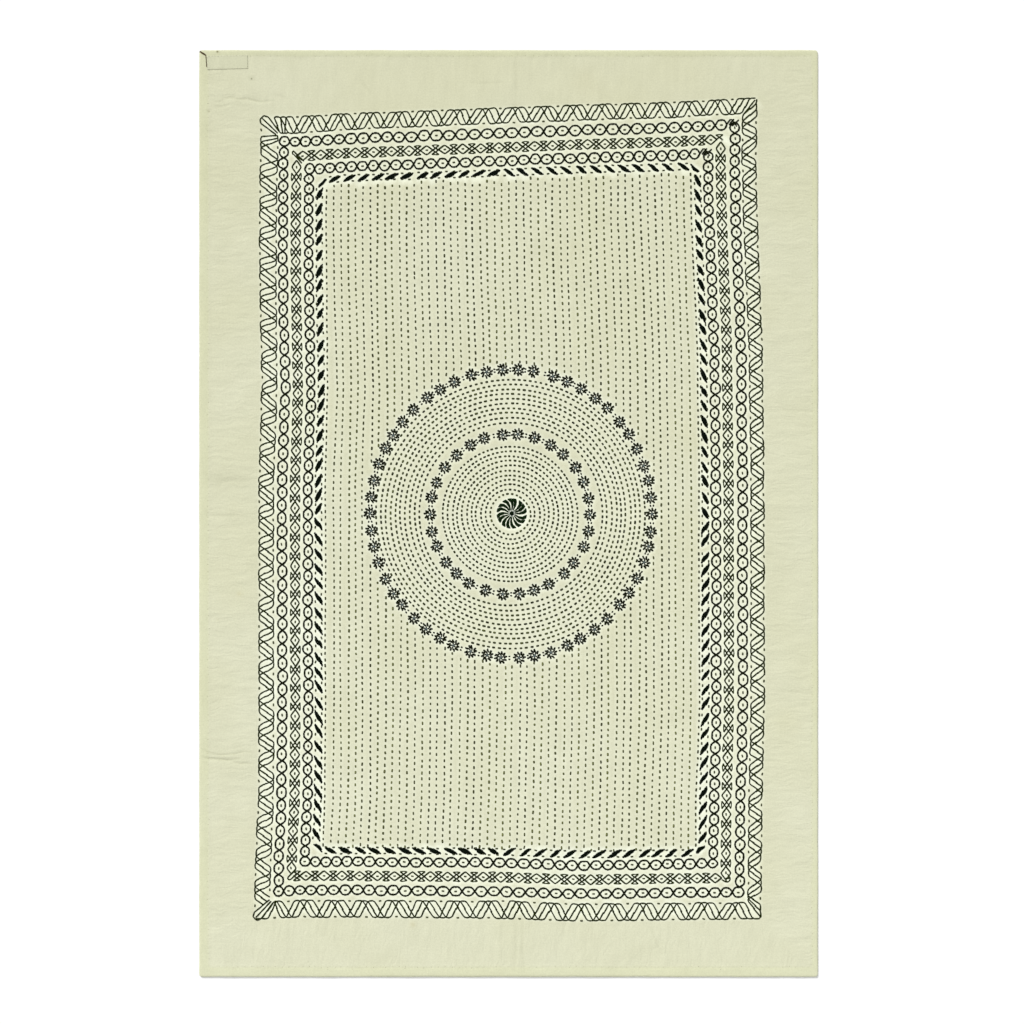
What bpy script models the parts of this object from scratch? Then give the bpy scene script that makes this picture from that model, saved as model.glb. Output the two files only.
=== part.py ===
"""Kantha quilt: a hand-quilted cotton cover lying flat, face up.

Units are metres. +Z is up, +Y runs along the quilt to its top edge (the one with the label), +X runs to
its right edge. The origin is under the middle of the quilt, on the surface it lies on.

The quilt is one sheet with a flat underside. Every line of stitching pulls the layers together, so the
top face is laid out from the stitched lines: each is a shallow valley, with a crest half way to the
next. The lines are joined up by a Delaunay triangulation, and the face is closed below.
"""

import math
import random
from collections import namedtuple

import bmesh
import bpy
from mathutils import Matrix, Vector
from mathutils.geometry import delaunay_2d_cdt

# ---- driving dimensions ----

WIDTH = 0.910
LENGTH = 1.363
CORNER_RADIUS = 0.004
CORNER_STEPS = 3

CREST_HEIGHT = 0.0030       # top of the puffed cloth between two lines of stitching
VALLEY_HEIGHT = 0.0022      # cloth drawn in along a line of stitching
MARGIN_HEIGHT = 0.0025      # flat, sparsely stitched margin
HEM_HEIGHT = 0.0030         # folded edge, one layer more than the margin
EDGE_HEIGHT = 0.0014        # where the rounded edge turns down to the underside
EDGE_ROUNDING = 0.0022      # how far in the edge has risen to the hem's height
HEM_STEP = 0.0012           # width of the step from the hem down to its line of stitching
UNEVENNESS = 0.00012        # how much the height of hand-quilted layers wanders
STITCH_WANDER = 0.0005      # how much a hand-sewn line strays sideways

# Width of the hem, and of the plain margin outside the border, on each side.
HEM_WIDTH = {"left": 0.0132, "right": 0.0088, "top": 0.0088, "bottom": 0.0147}

# The border's outer line: `along` runs from the top edge down the two long sides and from the left edge
# along the two short ones, `margin` is the distance in from that side's edge.
Station = namedtuple("Station", "along margin")
BORDER_EDGE = {
    "left": (Station(0.097, 0.0915), Station(0.515, 0.0908), Station(0.662, 0.0872),
             Station(0.956, 0.0882), Station(1.278, 0.0830)),
    "right": (Station(0.071, 0.0925), Station(0.368, 0.0870), Station(0.662, 0.0797),
              Station(0.956, 0.0795), Station(1.278, 0.0825)),
    "top": (Station(0.092, 0.0975), Station(0.325, 0.0897), Station(0.560, 0.0811),
            Station(0.820, 0.0710)),
    "bottom": (Station(0.084, 0.0870), Station(0.325, 0.0892), Station(0.560, 0.0835),
               Station(0.826, 0.0853)),
}

# Lines of stitching in the border, as distances in from its outer line on each side.
Rail = namedtuple("Rail", "band left right top bottom")
BORDER_RAILS = (
    Rail("zigzag, outer line", 0.0000, 0.0000, 0.0000, 0.0000),
    Rail("zigzag, inner line", 0.0221, 0.0212, 0.0220, 0.0240),
    Rail("outer chain", 0.0341, 0.0316, 0.0357, 0.0387),
    Rail("lozenges", 0.0532, 0.0519, 0.0559, 0.0607),
    Rail("inner chain", 0.0720, 0.0706, 0.0769, 0.0813),
    Rail("satin bars", 0.0875, 0.0867, 0.0939, 0.0978),
    Rail("edge of the field", 0.0985, 0.0965, 0.1035, 0.1055),
)
RAIL_SPACING = 0.085        # distance between a border line's points

ROW_COUNT = 51              # stitched rows across the field, running along the quilt
ROW_POINT_SPACING = 0.115
ROW_END_RISE = 0.006        # length over which a row's crest rises from the line it ends on

# The medallion in the middle of the field: rings of stitching and two rings of rosettes.
MEDALLION_CENTRE = Vector((0.0037, -0.0004))
MEDALLION_STRETCH = Vector((0.99, 1.01))
MEDALLION_RADIUS = 0.2190
SIDE_POINT_TURN = math.radians(5.5)     # between the points of its edge that no row ends on
RING_POINT_SPACING = 0.0225
RING_TURN = 0.37            # how far each ring's points are turned past the next ring's
FEWEST_RING_POINTS = 14

Ringset = namedtuple("Ringset", "outer_radius inner_radius count")
RING_SETS = (
    Ringset(0.1958, 0.1323, 10),
    Ringset(0.0985, 0.0287, 11),
)
RosetteRing = namedtuple("RosetteRing", "radius half_width")
ROSETTE_RINGS = (
    RosetteRing(0.2093, 0.0048),
    RosetteRing(0.1176, 0.0048),
)
WHEEL_CREST_RADIUS = 0.0190
WHEEL_VALLEY_RADIUS = 0.0080

# Creases left by folding: ridges (or troughs, where the height is negative) along a line.
Crease = namedtuple("Crease", "name start end height half_width")
CREASES = (
    Crease("middle fold, across, left", (-0.450, 0.040), (-0.200, 0.016), -0.00035, 0.0130),
    Crease("middle fold, across, right", (0.240, 0.014), (0.453, 0.013), 0.00035, 0.0090),
    Crease("middle fold, along, top", (0.005, 0.676), (0.005, 0.500), 0.00030, 0.0080),
    Crease("middle fold, along, bottom", (0.026, -0.215), (0.030, -0.676), 0.00035, 0.0080),
    Crease("second fold, along, bottom", (0.005, -0.230), (0.004, -0.676), 0.00025, 0.0070),
    Crease("left margin, low, upper", (-0.452, -0.346), (-0.374, -0.354), 0.00060, 0.0050),
    Crease("left margin, low, lower", (-0.452, -0.361), (-0.374, -0.366), 0.00045, 0.0050),
    Crease("left margin, middle", (-0.452, -0.002), (-0.374, -0.003), 0.00035, 0.0045),
    Crease("top left corner", (-0.446, 0.610), (-0.325, 0.604), 0.00050, 0.0050),
    Crease("right margin, upper", (0.382, 0.391), (0.452, 0.389), 0.00035, 0.0045),
    Crease("right margin, lower", (0.382, 0.323), (0.452, 0.321), 0.00035, 0.0045),
    Crease("bottom margin", (0.214, -0.606), (0.240, -0.666), 0.00045, 0.0050),
    Crease("top margin", (-0.219, 0.636), (-0.201, 0.616), 0.00035, 0.0045),
)
CREASE_STEPS = 6            # points along a crease in the margin
CREASE_TAPER = 0.2          # share of a crease's length over which it fades at each end

# Soft ripples of the margin, square to each edge.
RIPPLE_PITCH = 0.030
RIPPLE_HEIGHT = 0.00025

# The tape label sewn over the top left corner of the hem.
LABEL_SIZE = Vector((0.0600, 0.0206))
LABEL_THICKNESS = 0.0005
LABEL_CENTRE = Vector((-0.4131, 0.6633))
LABEL_TURN = math.radians(1.5)
LABEL_DIVISIONS = (6, 8)
CLEARANCE = 0.0003

GROUND_COLOUR = (0.70, 0.69, 0.50, 1.0)
LABEL_COLOUR = (0.78, 0.77, 0.62, 1.0)

SIDES = ("left", "top", "right", "bottom")
FACES_INSIDE_OUTLINE = 1    # which triangles the triangulation returns
MERGE_DISTANCE = 1e-6


# ---- the lines of the quilt ----

def side_point(side, along, inset):
    """The point `inset` in from a side's edge, `along` from the top or the left edge."""
    half_width, half_length = WIDTH / 2, LENGTH / 2
    if side == "left":
        return Vector((-half_width + inset, half_length - along))
    if side == "right":
        return Vector((half_width - inset, half_length - along))
    if side == "top":
        return Vector((-half_width + along, half_length - inset))
    return Vector((-half_width + along, -half_length + inset))


def border_margin(side, along):
    """Distance from a side's edge to the border's outer line, `along` that side."""
    stations = BORDER_EDGE[side]
    if along <= stations[0].along:
        return stations[0].margin
    for before, after in zip(stations, stations[1:]):
        if along <= after.along:
            share = (along - before.along) / (after.along - before.along)
            return before.margin + share * (after.margin - before.margin)
    return stations[-1].margin


def rail_corner(rail, long_side, short_side):
    """Where a border line turns from a long side into a short one: (along long, along short)."""
    along_long = along_short = 0.1
    for _ in range(4):
        inset = border_margin(short_side, along_short) + getattr(rail, short_side)
        along_long = inset if short_side == "top" else LENGTH - inset
        inset = border_margin(long_side, along_long) + getattr(rail, long_side)
        along_short = inset if long_side == "left" else WIDTH - inset
    return along_long, along_short


def rail_side(rail, side, shares):
    """Points of one side of a border line, at `shares` of the way between its two corners."""
    if side in ("left", "right"):
        start, end = rail_corner(rail, side, "top")[0], rail_corner(rail, side, "bottom")[0]
    else:
        start, end = rail_corner(rail, "left", side)[1], rail_corner(rail, "right", side)[1]
    points = []
    for share in shares:
        along = start + share * (end - start)
        inset = border_margin(side, along) + getattr(rail, side)
        points.append(side_point(side, along, inset))
    return points


def even_shares(count):
    return [index / count for index in range(count + 1)]


def rail_loop(rail):
    """A border line all the way round, clockwise from its top left corner."""
    long_steps = round(LENGTH / RAIL_SPACING)
    short_steps = round(WIDTH / RAIL_SPACING)
    top = rail_side(rail, "top", even_shares(short_steps))
    right = rail_side(rail, "right", even_shares(long_steps))
    bottom = rail_side(rail, "bottom", even_shares(short_steps))
    left = rail_side(rail, "left", even_shares(long_steps))
    return top[:-1] + right[:-1] + bottom[:0:-1] + left[:0:-1]


def middle_rail(outer, inner):
    """The crest line half way between two border lines."""
    offsets = {side: (getattr(outer, side) + getattr(inner, side)) / 2 for side in SIDES}
    return Rail("crest", **offsets)


# ---- heights ----

def place_on_line(point, start, end):
    """(share of the way along the line, distance from it) of a point."""
    along = end - start
    share = max(0.0, min(1.0, (point - start).dot(along) / along.length_squared))
    return share, (point - start - share * along).length


def crease_height(point):
    """What the folding creases add to the cloth's height at a point."""
    total = 0.0
    for crease in CREASES:
        share, distance = place_on_line(point, Vector(crease.start), Vector(crease.end))
        if distance < crease.half_width:
            taper = min(1.0, share / CREASE_TAPER, (1 - share) / CREASE_TAPER)
            total += taper * crease.height * (1 - distance / crease.half_width)
    return total


def wandering_height(point):
    """Slow rises and falls of layers quilted by hand."""
    wave_x = math.sin(point.x / 0.031 + 1.3 * math.sin(point.y / 0.070))
    wave_y = math.sin(point.y / 0.043 + 1.7 * math.sin(point.x / 0.055) + 0.8)
    return UNEVENNESS * wave_x * wave_y


class TopFace:
    """The points and lines of the quilt's top face."""

    def __init__(self):
        self.flat_points = []
        self.heights = []
        self.edges = []

    def add_point(self, point, height):
        self.flat_points.append(Vector((point.x, point.y)))
        self.heights.append(height + crease_height(point) + wandering_height(point))
        return len(self.flat_points) - 1

    def add_line(self, points, height, closed=False):
        indices = [self.add_point(point, height) for point in points]
        self.join(indices, closed)
        return indices

    def join(self, indices, closed=False):
        self.edges += list(zip(indices, indices[1:]))
        if closed:
            self.edges.append((indices[-1], indices[0]))


def divided(points, spacing):
    """A closed line with its long stretches divided into steps of about `spacing`."""
    line = []
    for point, following in zip(points, points[1:] + points[:1]):
        count = max(1, round((following - point).length / spacing))
        line += [point.lerp(following, index / count) for index in range(count)]
    return line


def rounded_rectangle(inset):
    """The quilt's outline, `inset` in from its edge, with an arc at each corner."""
    radius = CORNER_RADIUS - inset
    points = []
    for turn, (side_x, side_y) in enumerate(((1, 1), (-1, 1), (-1, -1), (1, -1))):
        centre = Vector((side_x * (WIDTH / 2 - CORNER_RADIUS), side_y * (LENGTH / 2 - CORNER_RADIUS)))
        for step in range(CORNER_STEPS + 1):
            angle = (turn + step / CORNER_STEPS) * math.pi / 2
            points.append(centre + radius * Vector((math.cos(angle), math.sin(angle))))
    return points


def add_outline(face):
    """The quilt's edge, then the line where its rounding has risen to the hem's height."""
    for inset, height in ((0.0, EDGE_HEIGHT), (EDGE_ROUNDING, HEM_HEIGHT)):
        face.add_line(divided(rounded_rectangle(inset), RAIL_SPACING), height, closed=True)


def add_hem(face):
    """The inner edge of the folded hem, and the line of stitching that holds it down."""
    for step, height in ((0.0, HEM_HEIGHT), (HEM_STEP, VALLEY_HEIGHT)):
        left = -WIDTH / 2 + HEM_WIDTH["left"] + step
        right = WIDTH / 2 - HEM_WIDTH["right"] - step
        bottom = -LENGTH / 2 + HEM_WIDTH["bottom"] + step
        top = LENGTH / 2 - HEM_WIDTH["top"] - step
        corners = [Vector(pair) for pair in ((left, top), (right, top), (right, bottom), (left, bottom))]
        face.add_line(divided(corners, RAIL_SPACING), height, closed=True)


def add_margin_ripples(face):
    """Short soft ridges and troughs of the plain margin, square to the quilt's edge."""
    for side in SIDES:
        reach = LENGTH if side in ("left", "right") else WIDTH
        count = round(reach / RIPPLE_PITCH)
        for index in range(5, count - 4):
            along = index * reach / count
            sign = 1 if index % 2 else -1
            outer, inner = HEM_WIDTH[side] + 0.012, border_margin(side, along) - 0.010
            lean = 0.006 * math.sin(index * 1.7)
            for share in (0.15, 0.85):
                inset = outer + share * (inner - outer)
                point = side_point(side, along + lean * (share - 0.5), inset)
                if not near_crease(point):
                    face.add_point(point, MARGIN_HEIGHT + sign * RIPPLE_HEIGHT)


def near_crease(point):
    for crease in CREASES:
        reach = crease.half_width + 0.003
        if place_on_line(point, Vector(crease.start), Vector(crease.end))[1] < reach:
            return True
    return False


def in_margin(point):
    """Whether a point lies in the plain margin, clear of the hem and of the border."""
    insets = {"left": point.x + WIDTH / 2, "right": WIDTH / 2 - point.x,
              "top": LENGTH / 2 - point.y, "bottom": point.y + LENGTH / 2}
    clear_of_hem = all(insets[side] > HEM_WIDTH[side] + HEM_STEP + 0.002 for side in SIDES)
    alongs = {"left": insets["top"], "right": insets["top"], "top": insets["left"], "bottom": insets["left"]}
    in_a_strip = any(insets[side] < border_margin(side, alongs[side]) - 0.002 for side in SIDES)
    return clear_of_hem and in_a_strip


def add_margin_creases(face):
    """The creases where they cross the plain margin: a line on the crease and one on each foot."""
    for crease in CREASES:
        start, end = Vector(crease.start), Vector(crease.end)
        sideways = (end - start).orthogonal().normalized() * crease.half_width
        for shift in (-sideways, Vector((0, 0)), sideways):
            run = []
            for index in range(CREASE_STEPS + 1):
                point = start.lerp(end, index / CREASE_STEPS) + shift
                if in_margin(point):
                    run.append(point)
            if len(run) > 1:
                face.add_line(run, MARGIN_HEIGHT)


def add_border(face):
    """The border's lines of stitching, with a crest between each two. Returns the field's edge."""
    for outer, inner in zip(BORDER_RAILS, BORDER_RAILS[1:]):
        face.add_line(rail_loop(outer), VALLEY_HEIGHT, closed=True)
        face.add_line(rail_loop(middle_rail(outer, inner)), CREST_HEIGHT, closed=True)
    return BORDER_RAILS[-1]


def medallion_point(radius, angle):
    return MEDALLION_CENTRE + Vector((
        radius * MEDALLION_STRETCH.x * math.cos(angle),
        radius * MEDALLION_STRETCH.y * math.sin(angle),
    ))


def medallion_crossing(x):
    """How far above and below its centre the medallion's edge is at `x`, or None beside it."""
    reach = (x - MEDALLION_CENTRE.x) / (MEDALLION_RADIUS * MEDALLION_STRETCH.x)
    if abs(reach) >= 0.985:
        return None
    return MEDALLION_RADIUS * MEDALLION_STRETCH.y * math.sqrt(1 - reach * reach)


def row_shares(length, is_crest):
    """Shares of a stretch's length at which it has points. A crest rises just inside each end."""
    count = max(1, round(length / ROW_POINT_SPACING))
    shares = even_shares(count)
    if is_crest:
        rise = ROW_END_RISE / length
        shares = [0.0, rise] + shares[1:-1] + [1.0 - rise, 1.0]
    return shares


def add_field(face, edge_rail, rng):
    """The field's rows, each broken by the medallion. Returns their ends on the medallion's edge."""
    lines = 2 * ROW_COUNT - 1
    across = [index / (lines - 1) for index in range(lines)]
    tops = rail_side(edge_rail, "top", across)
    bottoms = rail_side(edge_rail, "bottom", across)
    top_ends, bottom_ends, medallion_ends = [], [], []
    for index, (top, bottom) in enumerate(zip(tops, bottoms)):
        is_crest = index % 2 == 1
        is_outermost = index in (0, lines - 1)
        middle_x = (top.x + bottom.x) / 2
        crossing = None if is_outermost else medallion_crossing(middle_x)
        stretches = [(top, bottom)]
        if crossing is not None:
            above = Vector((middle_x, MEDALLION_CENTRE.y + crossing))
            below = Vector((middle_x, MEDALLION_CENTRE.y - crossing))
            stretches = [(top, above), (below, bottom)]
        rows = []
        for start, end in stretches:
            shares = row_shares((end - start).length, is_crest)
            row = []
            for share in shares:
                point = row_point(edge_rail, across[index], start, end, share)
                is_end = share in (0.0, 1.0)
                if not is_end and not is_outermost:
                    point.x += rng.uniform(-STITCH_WANDER, STITCH_WANDER)
                height = CREST_HEIGHT if is_crest and not is_end else VALLEY_HEIGHT
                row.append(face.add_point(point, height))
            face.join(row)
            rows.append(row)
        top_ends.append(rows[0][0])
        bottom_ends.append(rows[-1][-1])
        if crossing is not None:
            medallion_ends += [rows[0][-1], rows[1][0]]
    face.join(top_ends)
    face.join(bottom_ends)
    return medallion_ends


def row_point(edge_rail, across, start, end, share):
    """A point of a row, which bows with the field's two long edges where it runs past the medallion."""
    point = start.lerp(end, share)
    along = LENGTH / 2 - point.y
    left = -WIDTH / 2 + border_margin("left", along) + edge_rail.left
    right = WIDTH / 2 - border_margin("right", along) - edge_rail.right
    bowed = left + across * (right - left)
    ease = math.sin(math.pi * share)
    return Vector((point.x + ease * (bowed - point.x), point.y))


def add_medallion(face, row_ends):
    """The medallion's edge through the rows' ends, then its rings down to the wheel in the middle."""
    rim = list(row_ends)
    for beside in (0.0, math.pi):
        for turn in (-SIDE_POINT_TURN, 0.0, SIDE_POINT_TURN):
            point = medallion_point(MEDALLION_RADIUS, beside + turn)
            rim.append(face.add_point(point, VALLEY_HEIGHT))

    def angle_of(index):
        offset = face.flat_points[index] - MEDALLION_CENTRE
        return math.atan2(offset.y, offset.x)

    face.join(sorted(rim, key=angle_of), closed=True)
    for radius, height in medallion_profile():
        count = max(FEWEST_RING_POINTS, round(2 * math.pi * radius / RING_POINT_SPACING))
        turn = RING_TURN * radius / RING_POINT_SPACING
        points = [medallion_point(radius, turn + 2 * math.pi * step / count) for step in range(count)]
        face.add_line(points, height, closed=True)
    face.add_point(MEDALLION_CENTRE, CREST_HEIGHT)


def medallion_profile():
    """(radius, height) of each circle of the medallion inside its edge."""
    circles = []
    for rosettes in ROSETTE_RINGS:
        circles.append((rosettes.radius + rosettes.half_width, CREST_HEIGHT))
        circles.append((rosettes.radius - rosettes.half_width, CREST_HEIGHT))
    for rings in RING_SETS:
        pitch = (rings.outer_radius - rings.inner_radius) / (rings.count - 1)
        for index in range(rings.count):
            radius = rings.outer_radius - index * pitch
            circles.append((radius, VALLEY_HEIGHT))
            if index < rings.count - 1:
                circles.append((radius - pitch / 2, CREST_HEIGHT))
    circles.append((WHEEL_CREST_RADIUS, CREST_HEIGHT))
    circles.append((WHEEL_VALLEY_RADIUS, VALLEY_HEIGHT))
    return circles


# ---- objects ----

def new_material(name, colour, roughness):
    material = bpy.data.materials.new(name)
    material.use_nodes = True
    shader = material.node_tree.nodes["Principled BSDF"]
    shader.inputs["Base Color"].default_value = colour
    shader.inputs["Roughness"].default_value = roughness
    shader.inputs["Metallic"].default_value = 0.0
    return material


def new_object(name, builder, collection, material):
    mesh = bpy.data.meshes.new(name)
    builder.to_mesh(mesh)
    builder.free()
    mesh.materials.append(material)
    thing = bpy.data.objects.new(name, mesh)
    collection.objects.link(thing)
    return thing


def quilt_cloth(collection):
    """The whole quilted sheet with its hem: the top face, closed by walls and a flat underside."""
    face = TopFace()
    rng = random.Random(7)
    add_outline(face)
    add_hem(face)
    add_margin_ripples(face)
    add_margin_creases(face)
    edge_rail = add_border(face)
    add_medallion(face, add_field(face, edge_rail, rng))
    points, _, triangles, sources, _, _ = delaunay_2d_cdt(
        face.flat_points, face.edges, [], FACES_INSIDE_OUTLINE, MERGE_DISTANCE)

    builder = bmesh.new()
    corners = []
    for point, origins in zip(points, sources):
        corners.append(builder.verts.new((point.x, point.y, face.heights[origins[0]])))
    for triangle in triangles:
        builder.faces.new([corners[index] for index in triangle])
    rim_edges = [edge for edge in builder.edges if edge.is_boundary]
    walls = bmesh.ops.extrude_edge_only(builder, edges=rim_edges)
    for element in walls["geom"]:
        if isinstance(element, bmesh.types.BMVert):
            element.co.z = 0.0
    lower_edges = [edge for edge in builder.edges if edge.is_boundary]
    bmesh.ops.holes_fill(builder, edges=lower_edges, sides=0)
    bmesh.ops.recalc_face_normals(builder, faces=builder.faces)
    material = new_material("quilted_cotton", GROUND_COLOUR, 0.9)
    return new_object("quilt_cloth", builder, collection, material)


def label_seat(point):
    """Height of the label's underside: just clear of the hem, and lower where only margin is below."""
    hem_reach = HEM_STEP + 0.001
    over_hem = (LENGTH / 2 - point.y < HEM_WIDTH["top"] + hem_reach
                or point.x + WIDTH / 2 < HEM_WIDTH["left"] + hem_reach)
    return (HEM_HEIGHT if over_hem else MARGIN_HEIGHT) + UNEVENNESS + CLEARANCE


def corner_label(collection):
    """The blank tape label: a strip that lies on the margin and steps up over the hem."""
    builder = bmesh.new()
    columns, rows = LABEL_DIVISIONS
    bmesh.ops.create_grid(builder, x_segments=columns, y_segments=rows, size=0.5)
    turn = Matrix.Rotation(LABEL_TURN, 2)
    for vertex in builder.verts:
        point = LABEL_CENTRE + turn @ Vector((vertex.co.x * LABEL_SIZE.x, vertex.co.y * LABEL_SIZE.y))
        vertex.co = (point.x, point.y, label_seat(point))
    bmesh.ops.recalc_face_normals(builder, faces=builder.faces)
    material = new_material("label_tape", LABEL_COLOUR, 0.85)
    label = new_object("corner_label", builder, collection, material)
    shell = label.modifiers.new("tape", "SOLIDIFY")
    shell.thickness = LABEL_THICKNESS
    shell.offset = 1.0
    return label


def main():
    for leftover in list(bpy.data.objects):
        bpy.data.objects.remove(leftover)
    collection = bpy.data.collections.new("kantha_quilt")
    bpy.context.scene.collection.children.link(collection)
    quilt_cloth(collection)
    corner_label(collection)


main()
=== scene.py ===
"""Kantha quilt, the looks: quilted cloth, embroidery, label, floor, light and camera.

Everything is in metres in the quilt's own frame: +X to its right edge, +Y to its top edge, +Z up, with
the origin on the floor under its middle. The stitches are laid out first. The cloth is then drawn down
along them, so each puff and dimple belongs to a stitch, and the threads are laid on the cloth last.
"""

import math
from collections import namedtuple

import bpy
import numpy as np
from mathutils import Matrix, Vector
from mathutils.bvhtree import BVHTree
from mathutils.geometry import delaunay_2d_cdt


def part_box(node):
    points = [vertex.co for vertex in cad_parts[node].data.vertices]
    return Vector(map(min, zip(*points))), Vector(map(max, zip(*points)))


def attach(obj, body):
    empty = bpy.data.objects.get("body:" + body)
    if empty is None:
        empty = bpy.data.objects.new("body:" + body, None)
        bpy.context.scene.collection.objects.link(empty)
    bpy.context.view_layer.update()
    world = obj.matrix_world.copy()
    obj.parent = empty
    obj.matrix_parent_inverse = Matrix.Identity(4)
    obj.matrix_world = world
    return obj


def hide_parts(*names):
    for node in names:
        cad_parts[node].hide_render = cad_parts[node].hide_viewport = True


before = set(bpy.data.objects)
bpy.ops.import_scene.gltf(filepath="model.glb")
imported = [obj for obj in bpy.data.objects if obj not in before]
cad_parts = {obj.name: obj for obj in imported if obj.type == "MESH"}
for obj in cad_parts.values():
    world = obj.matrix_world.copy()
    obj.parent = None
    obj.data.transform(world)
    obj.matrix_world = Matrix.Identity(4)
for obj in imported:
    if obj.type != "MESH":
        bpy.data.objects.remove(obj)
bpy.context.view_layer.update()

CLOTH_LOW, CLOTH_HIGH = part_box("quilt_cloth")
WIDTH = CLOTH_HIGH[0] - CLOTH_LOW[0]
LENGTH = CLOTH_HIGH[1] - CLOTH_LOW[1]
LABEL_LOW, LABEL_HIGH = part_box("corner_label")

rng = np.random.default_rng(20)

SIDES = ("left", "right", "top", "bottom")


def by_side(left, right, top, bottom):
    """One value for each side of the quilt."""
    return dict(zip(SIDES, (left, right, top, bottom)))


SIDE_LENGTH = by_side(LENGTH, LENGTH, WIDTH, WIDTH)
SIDE_ENDS = by_side(("top", "bottom"), ("top", "bottom"), ("left", "right"), ("left", "right"))


def srgb(red, green, blue):
    """Linear colour of an sRGB one given in 0 to 255."""
    channels = []
    for value in (red, green, blue):
        share = value / 255
        channels.append(share / 12.92 if share <= 0.04045 else ((share + 0.055) / 1.055) ** 2.4)
    return (*channels, 1.0)


# ---- the border: its outer line and the bands inside it ----

# How far in from each side's edge the border's outer line is, at places along it: (along, margin). The
# places run down from the top edge on the two long sides, and from the left edge on the two short ones.
BORDER_EDGE = by_side(
    left=((0.097, 0.0915), (0.250, 0.089), (0.345, 0.0895), (0.500, 0.0925), (0.640, 0.088),
          (0.960, 0.0885), (1.100, 0.0875), (1.200, 0.083), (1.276, 0.0815)),
    right=((0.071, 0.090), (0.162, 0.0915), (0.250, 0.0895), (0.440, 0.082), (0.660, 0.0795),
           (0.960, 0.079), (1.100, 0.0825), (1.277, 0.0845)),
    top=((0.093, 0.0985), (0.149, 0.098), (0.222, 0.0935), (0.443, 0.0855), (0.560, 0.081),
         (0.688, 0.0775), (0.820, 0.0705)),
    bottom=((0.084, 0.0855), (0.149, 0.0885), (0.222, 0.0885), (0.443, 0.0865), (0.560, 0.0825),
            (0.663, 0.084), (0.826, 0.086)),
)

# Below, a band's own name gives the distance in from the outer line to its middle, and its PITCH the
# length of one repeat. Values are for the left, right, top and bottom sides.
OUTER_LINE = by_side(0.0, 0.0, 0.0, 0.0)
FIELD_EDGE = by_side(0.0980, 0.0965, 0.1040, 0.1030)
REPEAT_LENGTHS = (0.955, 1.045)         # a repeat's length as a share of the mean around it

# The zigzag: its width at the corners, and where it differs along a side as (along, width).
ZIGZAG_WIDTH = by_side(0.0235, 0.0205, 0.0230, 0.0245)
ZIGZAG_WIDTHS = by_side(
    left=((0.12, 0.025), (0.30, 0.0245), (0.50, 0.022), (0.85, 0.021), (1.15, 0.022)),
    right=((0.12, 0.0205), (0.35, 0.020), (0.55, 0.019), (0.85, 0.020), (1.15, 0.019)),
    top=((0.12, 0.0245), (0.25, 0.023), (0.45, 0.022)),
    bottom=((0.30, 0.0245), (0.45, 0.0255), (0.70, 0.024)),
)
# Where the first cluster of turns starts and the last ends, how many there are, and how far on the
# inner turns are from the outer ones, as a share of the pitch.
ZIGZAG_FIRST = by_side(0.117, 0.106, 0.102, 0.110)
ZIGZAG_LAST = by_side(1.258, 1.247, 0.784, 0.787)
ZIGZAG_COUNT = by_side(25, 25, 16, 15)
ZIGZAG_SLANT = by_side(0.56, 0.53, 0.48, 0.49)
ZIGZAG_KINKED = by_side(True, False, False, False)      # bars back to the outer line kink half way
# How many of the three lines carry on past the first and the last cluster and turn the corner.
LINES_BEFORE = by_side(0, 3, 0, 2)
LINES_AFTER = by_side(0, 3, 3, 3)
LINE_SHORTENING = 0.2           # where none do, each of the last bar's lines ends this share sooner
ZIGZAG_STEP = 0.0090            # between the lines of a bar, where they turn
ZIGZAG_STITCH = 0.011
ZIGZAG_TURN = 0.0018            # how far back from a turn its rounding starts
ZIGZAG_SWAY = 0.012             # how much the slant changes from one bar to the next
ZIGZAG_CORNER_GAP = 0.0015      # the least from a turn to the corner
ZIGZAG_CROWDING = 0.0035        # between the inner turns that crowd into a corner
UNEVENNESS = 0.0004             # of a turn's place
KINK_DEPTHS = (0.60, 0.38)      # where a kinked bar bends, as shares of its inner turn's inset
KINK_STEP = 0.0004
# Bars longer than this are worked in two runs, which pass each other within this part of the bar.
JOINTED_LENGTH = 0.014
JOINT_SHARES = (0.36, 0.64)
JOINT_OVERLAP = 0.0012
JOINT_ASIDE = 0.0005
# The small stitches between the clusters of turns: the least from one to the corner, and how far each
# lies inside the zigzag's edge.
DOT_CORNER_GAP = 0.012
DOT_INSET = 0.0004

# The chains: `reach` is from a chain's middle to the side of a link. A lap is how far a chain passes its
# first and its last corner; less than 0 is how far it stops short.
OUTER_CHAIN = by_side(0.0340, 0.0315, 0.0370, 0.0395)
OUTER_CHAIN_PITCH = by_side(0.0187, 0.0185, 0.0177, 0.0177)
OUTER_LINK_REACH = by_side(0.0064, 0.0066, 0.0069, 0.0066)
INNER_CHAIN = by_side(0.0720, 0.0705, 0.0780, 0.0815)
INNER_CHAIN_PITCH = by_side(0.0172, 0.0176, 0.0165, 0.0172)
INNER_LINK_REACH = by_side(0.0062, 0.0065, 0.0069, 0.0066)
CHAIN_LAPS = by_side((-0.007, -0.007), (0.003, -0.007), (0.007, -0.012), (0.007, 0.007))
LINK_CROWDING = (0.85, 0.98, 1.02, 1.02, 1.02, 1.01, 0.94)     # the pitch along a side, as shares of it
LINK_FLAT = 0.25                # half the length of a link's straight side, as a share of its pitch
LINK_WIDTHS = (0.91, 1.09)      # a link's width and its straight side, as shares of the mean
LINK_FLATS = (0.85, 1.15)
CHAIN_TURN = 0.0018             # how far back from a link's corner its rounding starts
CHAIN_STITCH = 0.0072
CHAIN_JOIN = 0.0012             # half the small stitch over each place where two links meet
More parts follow.
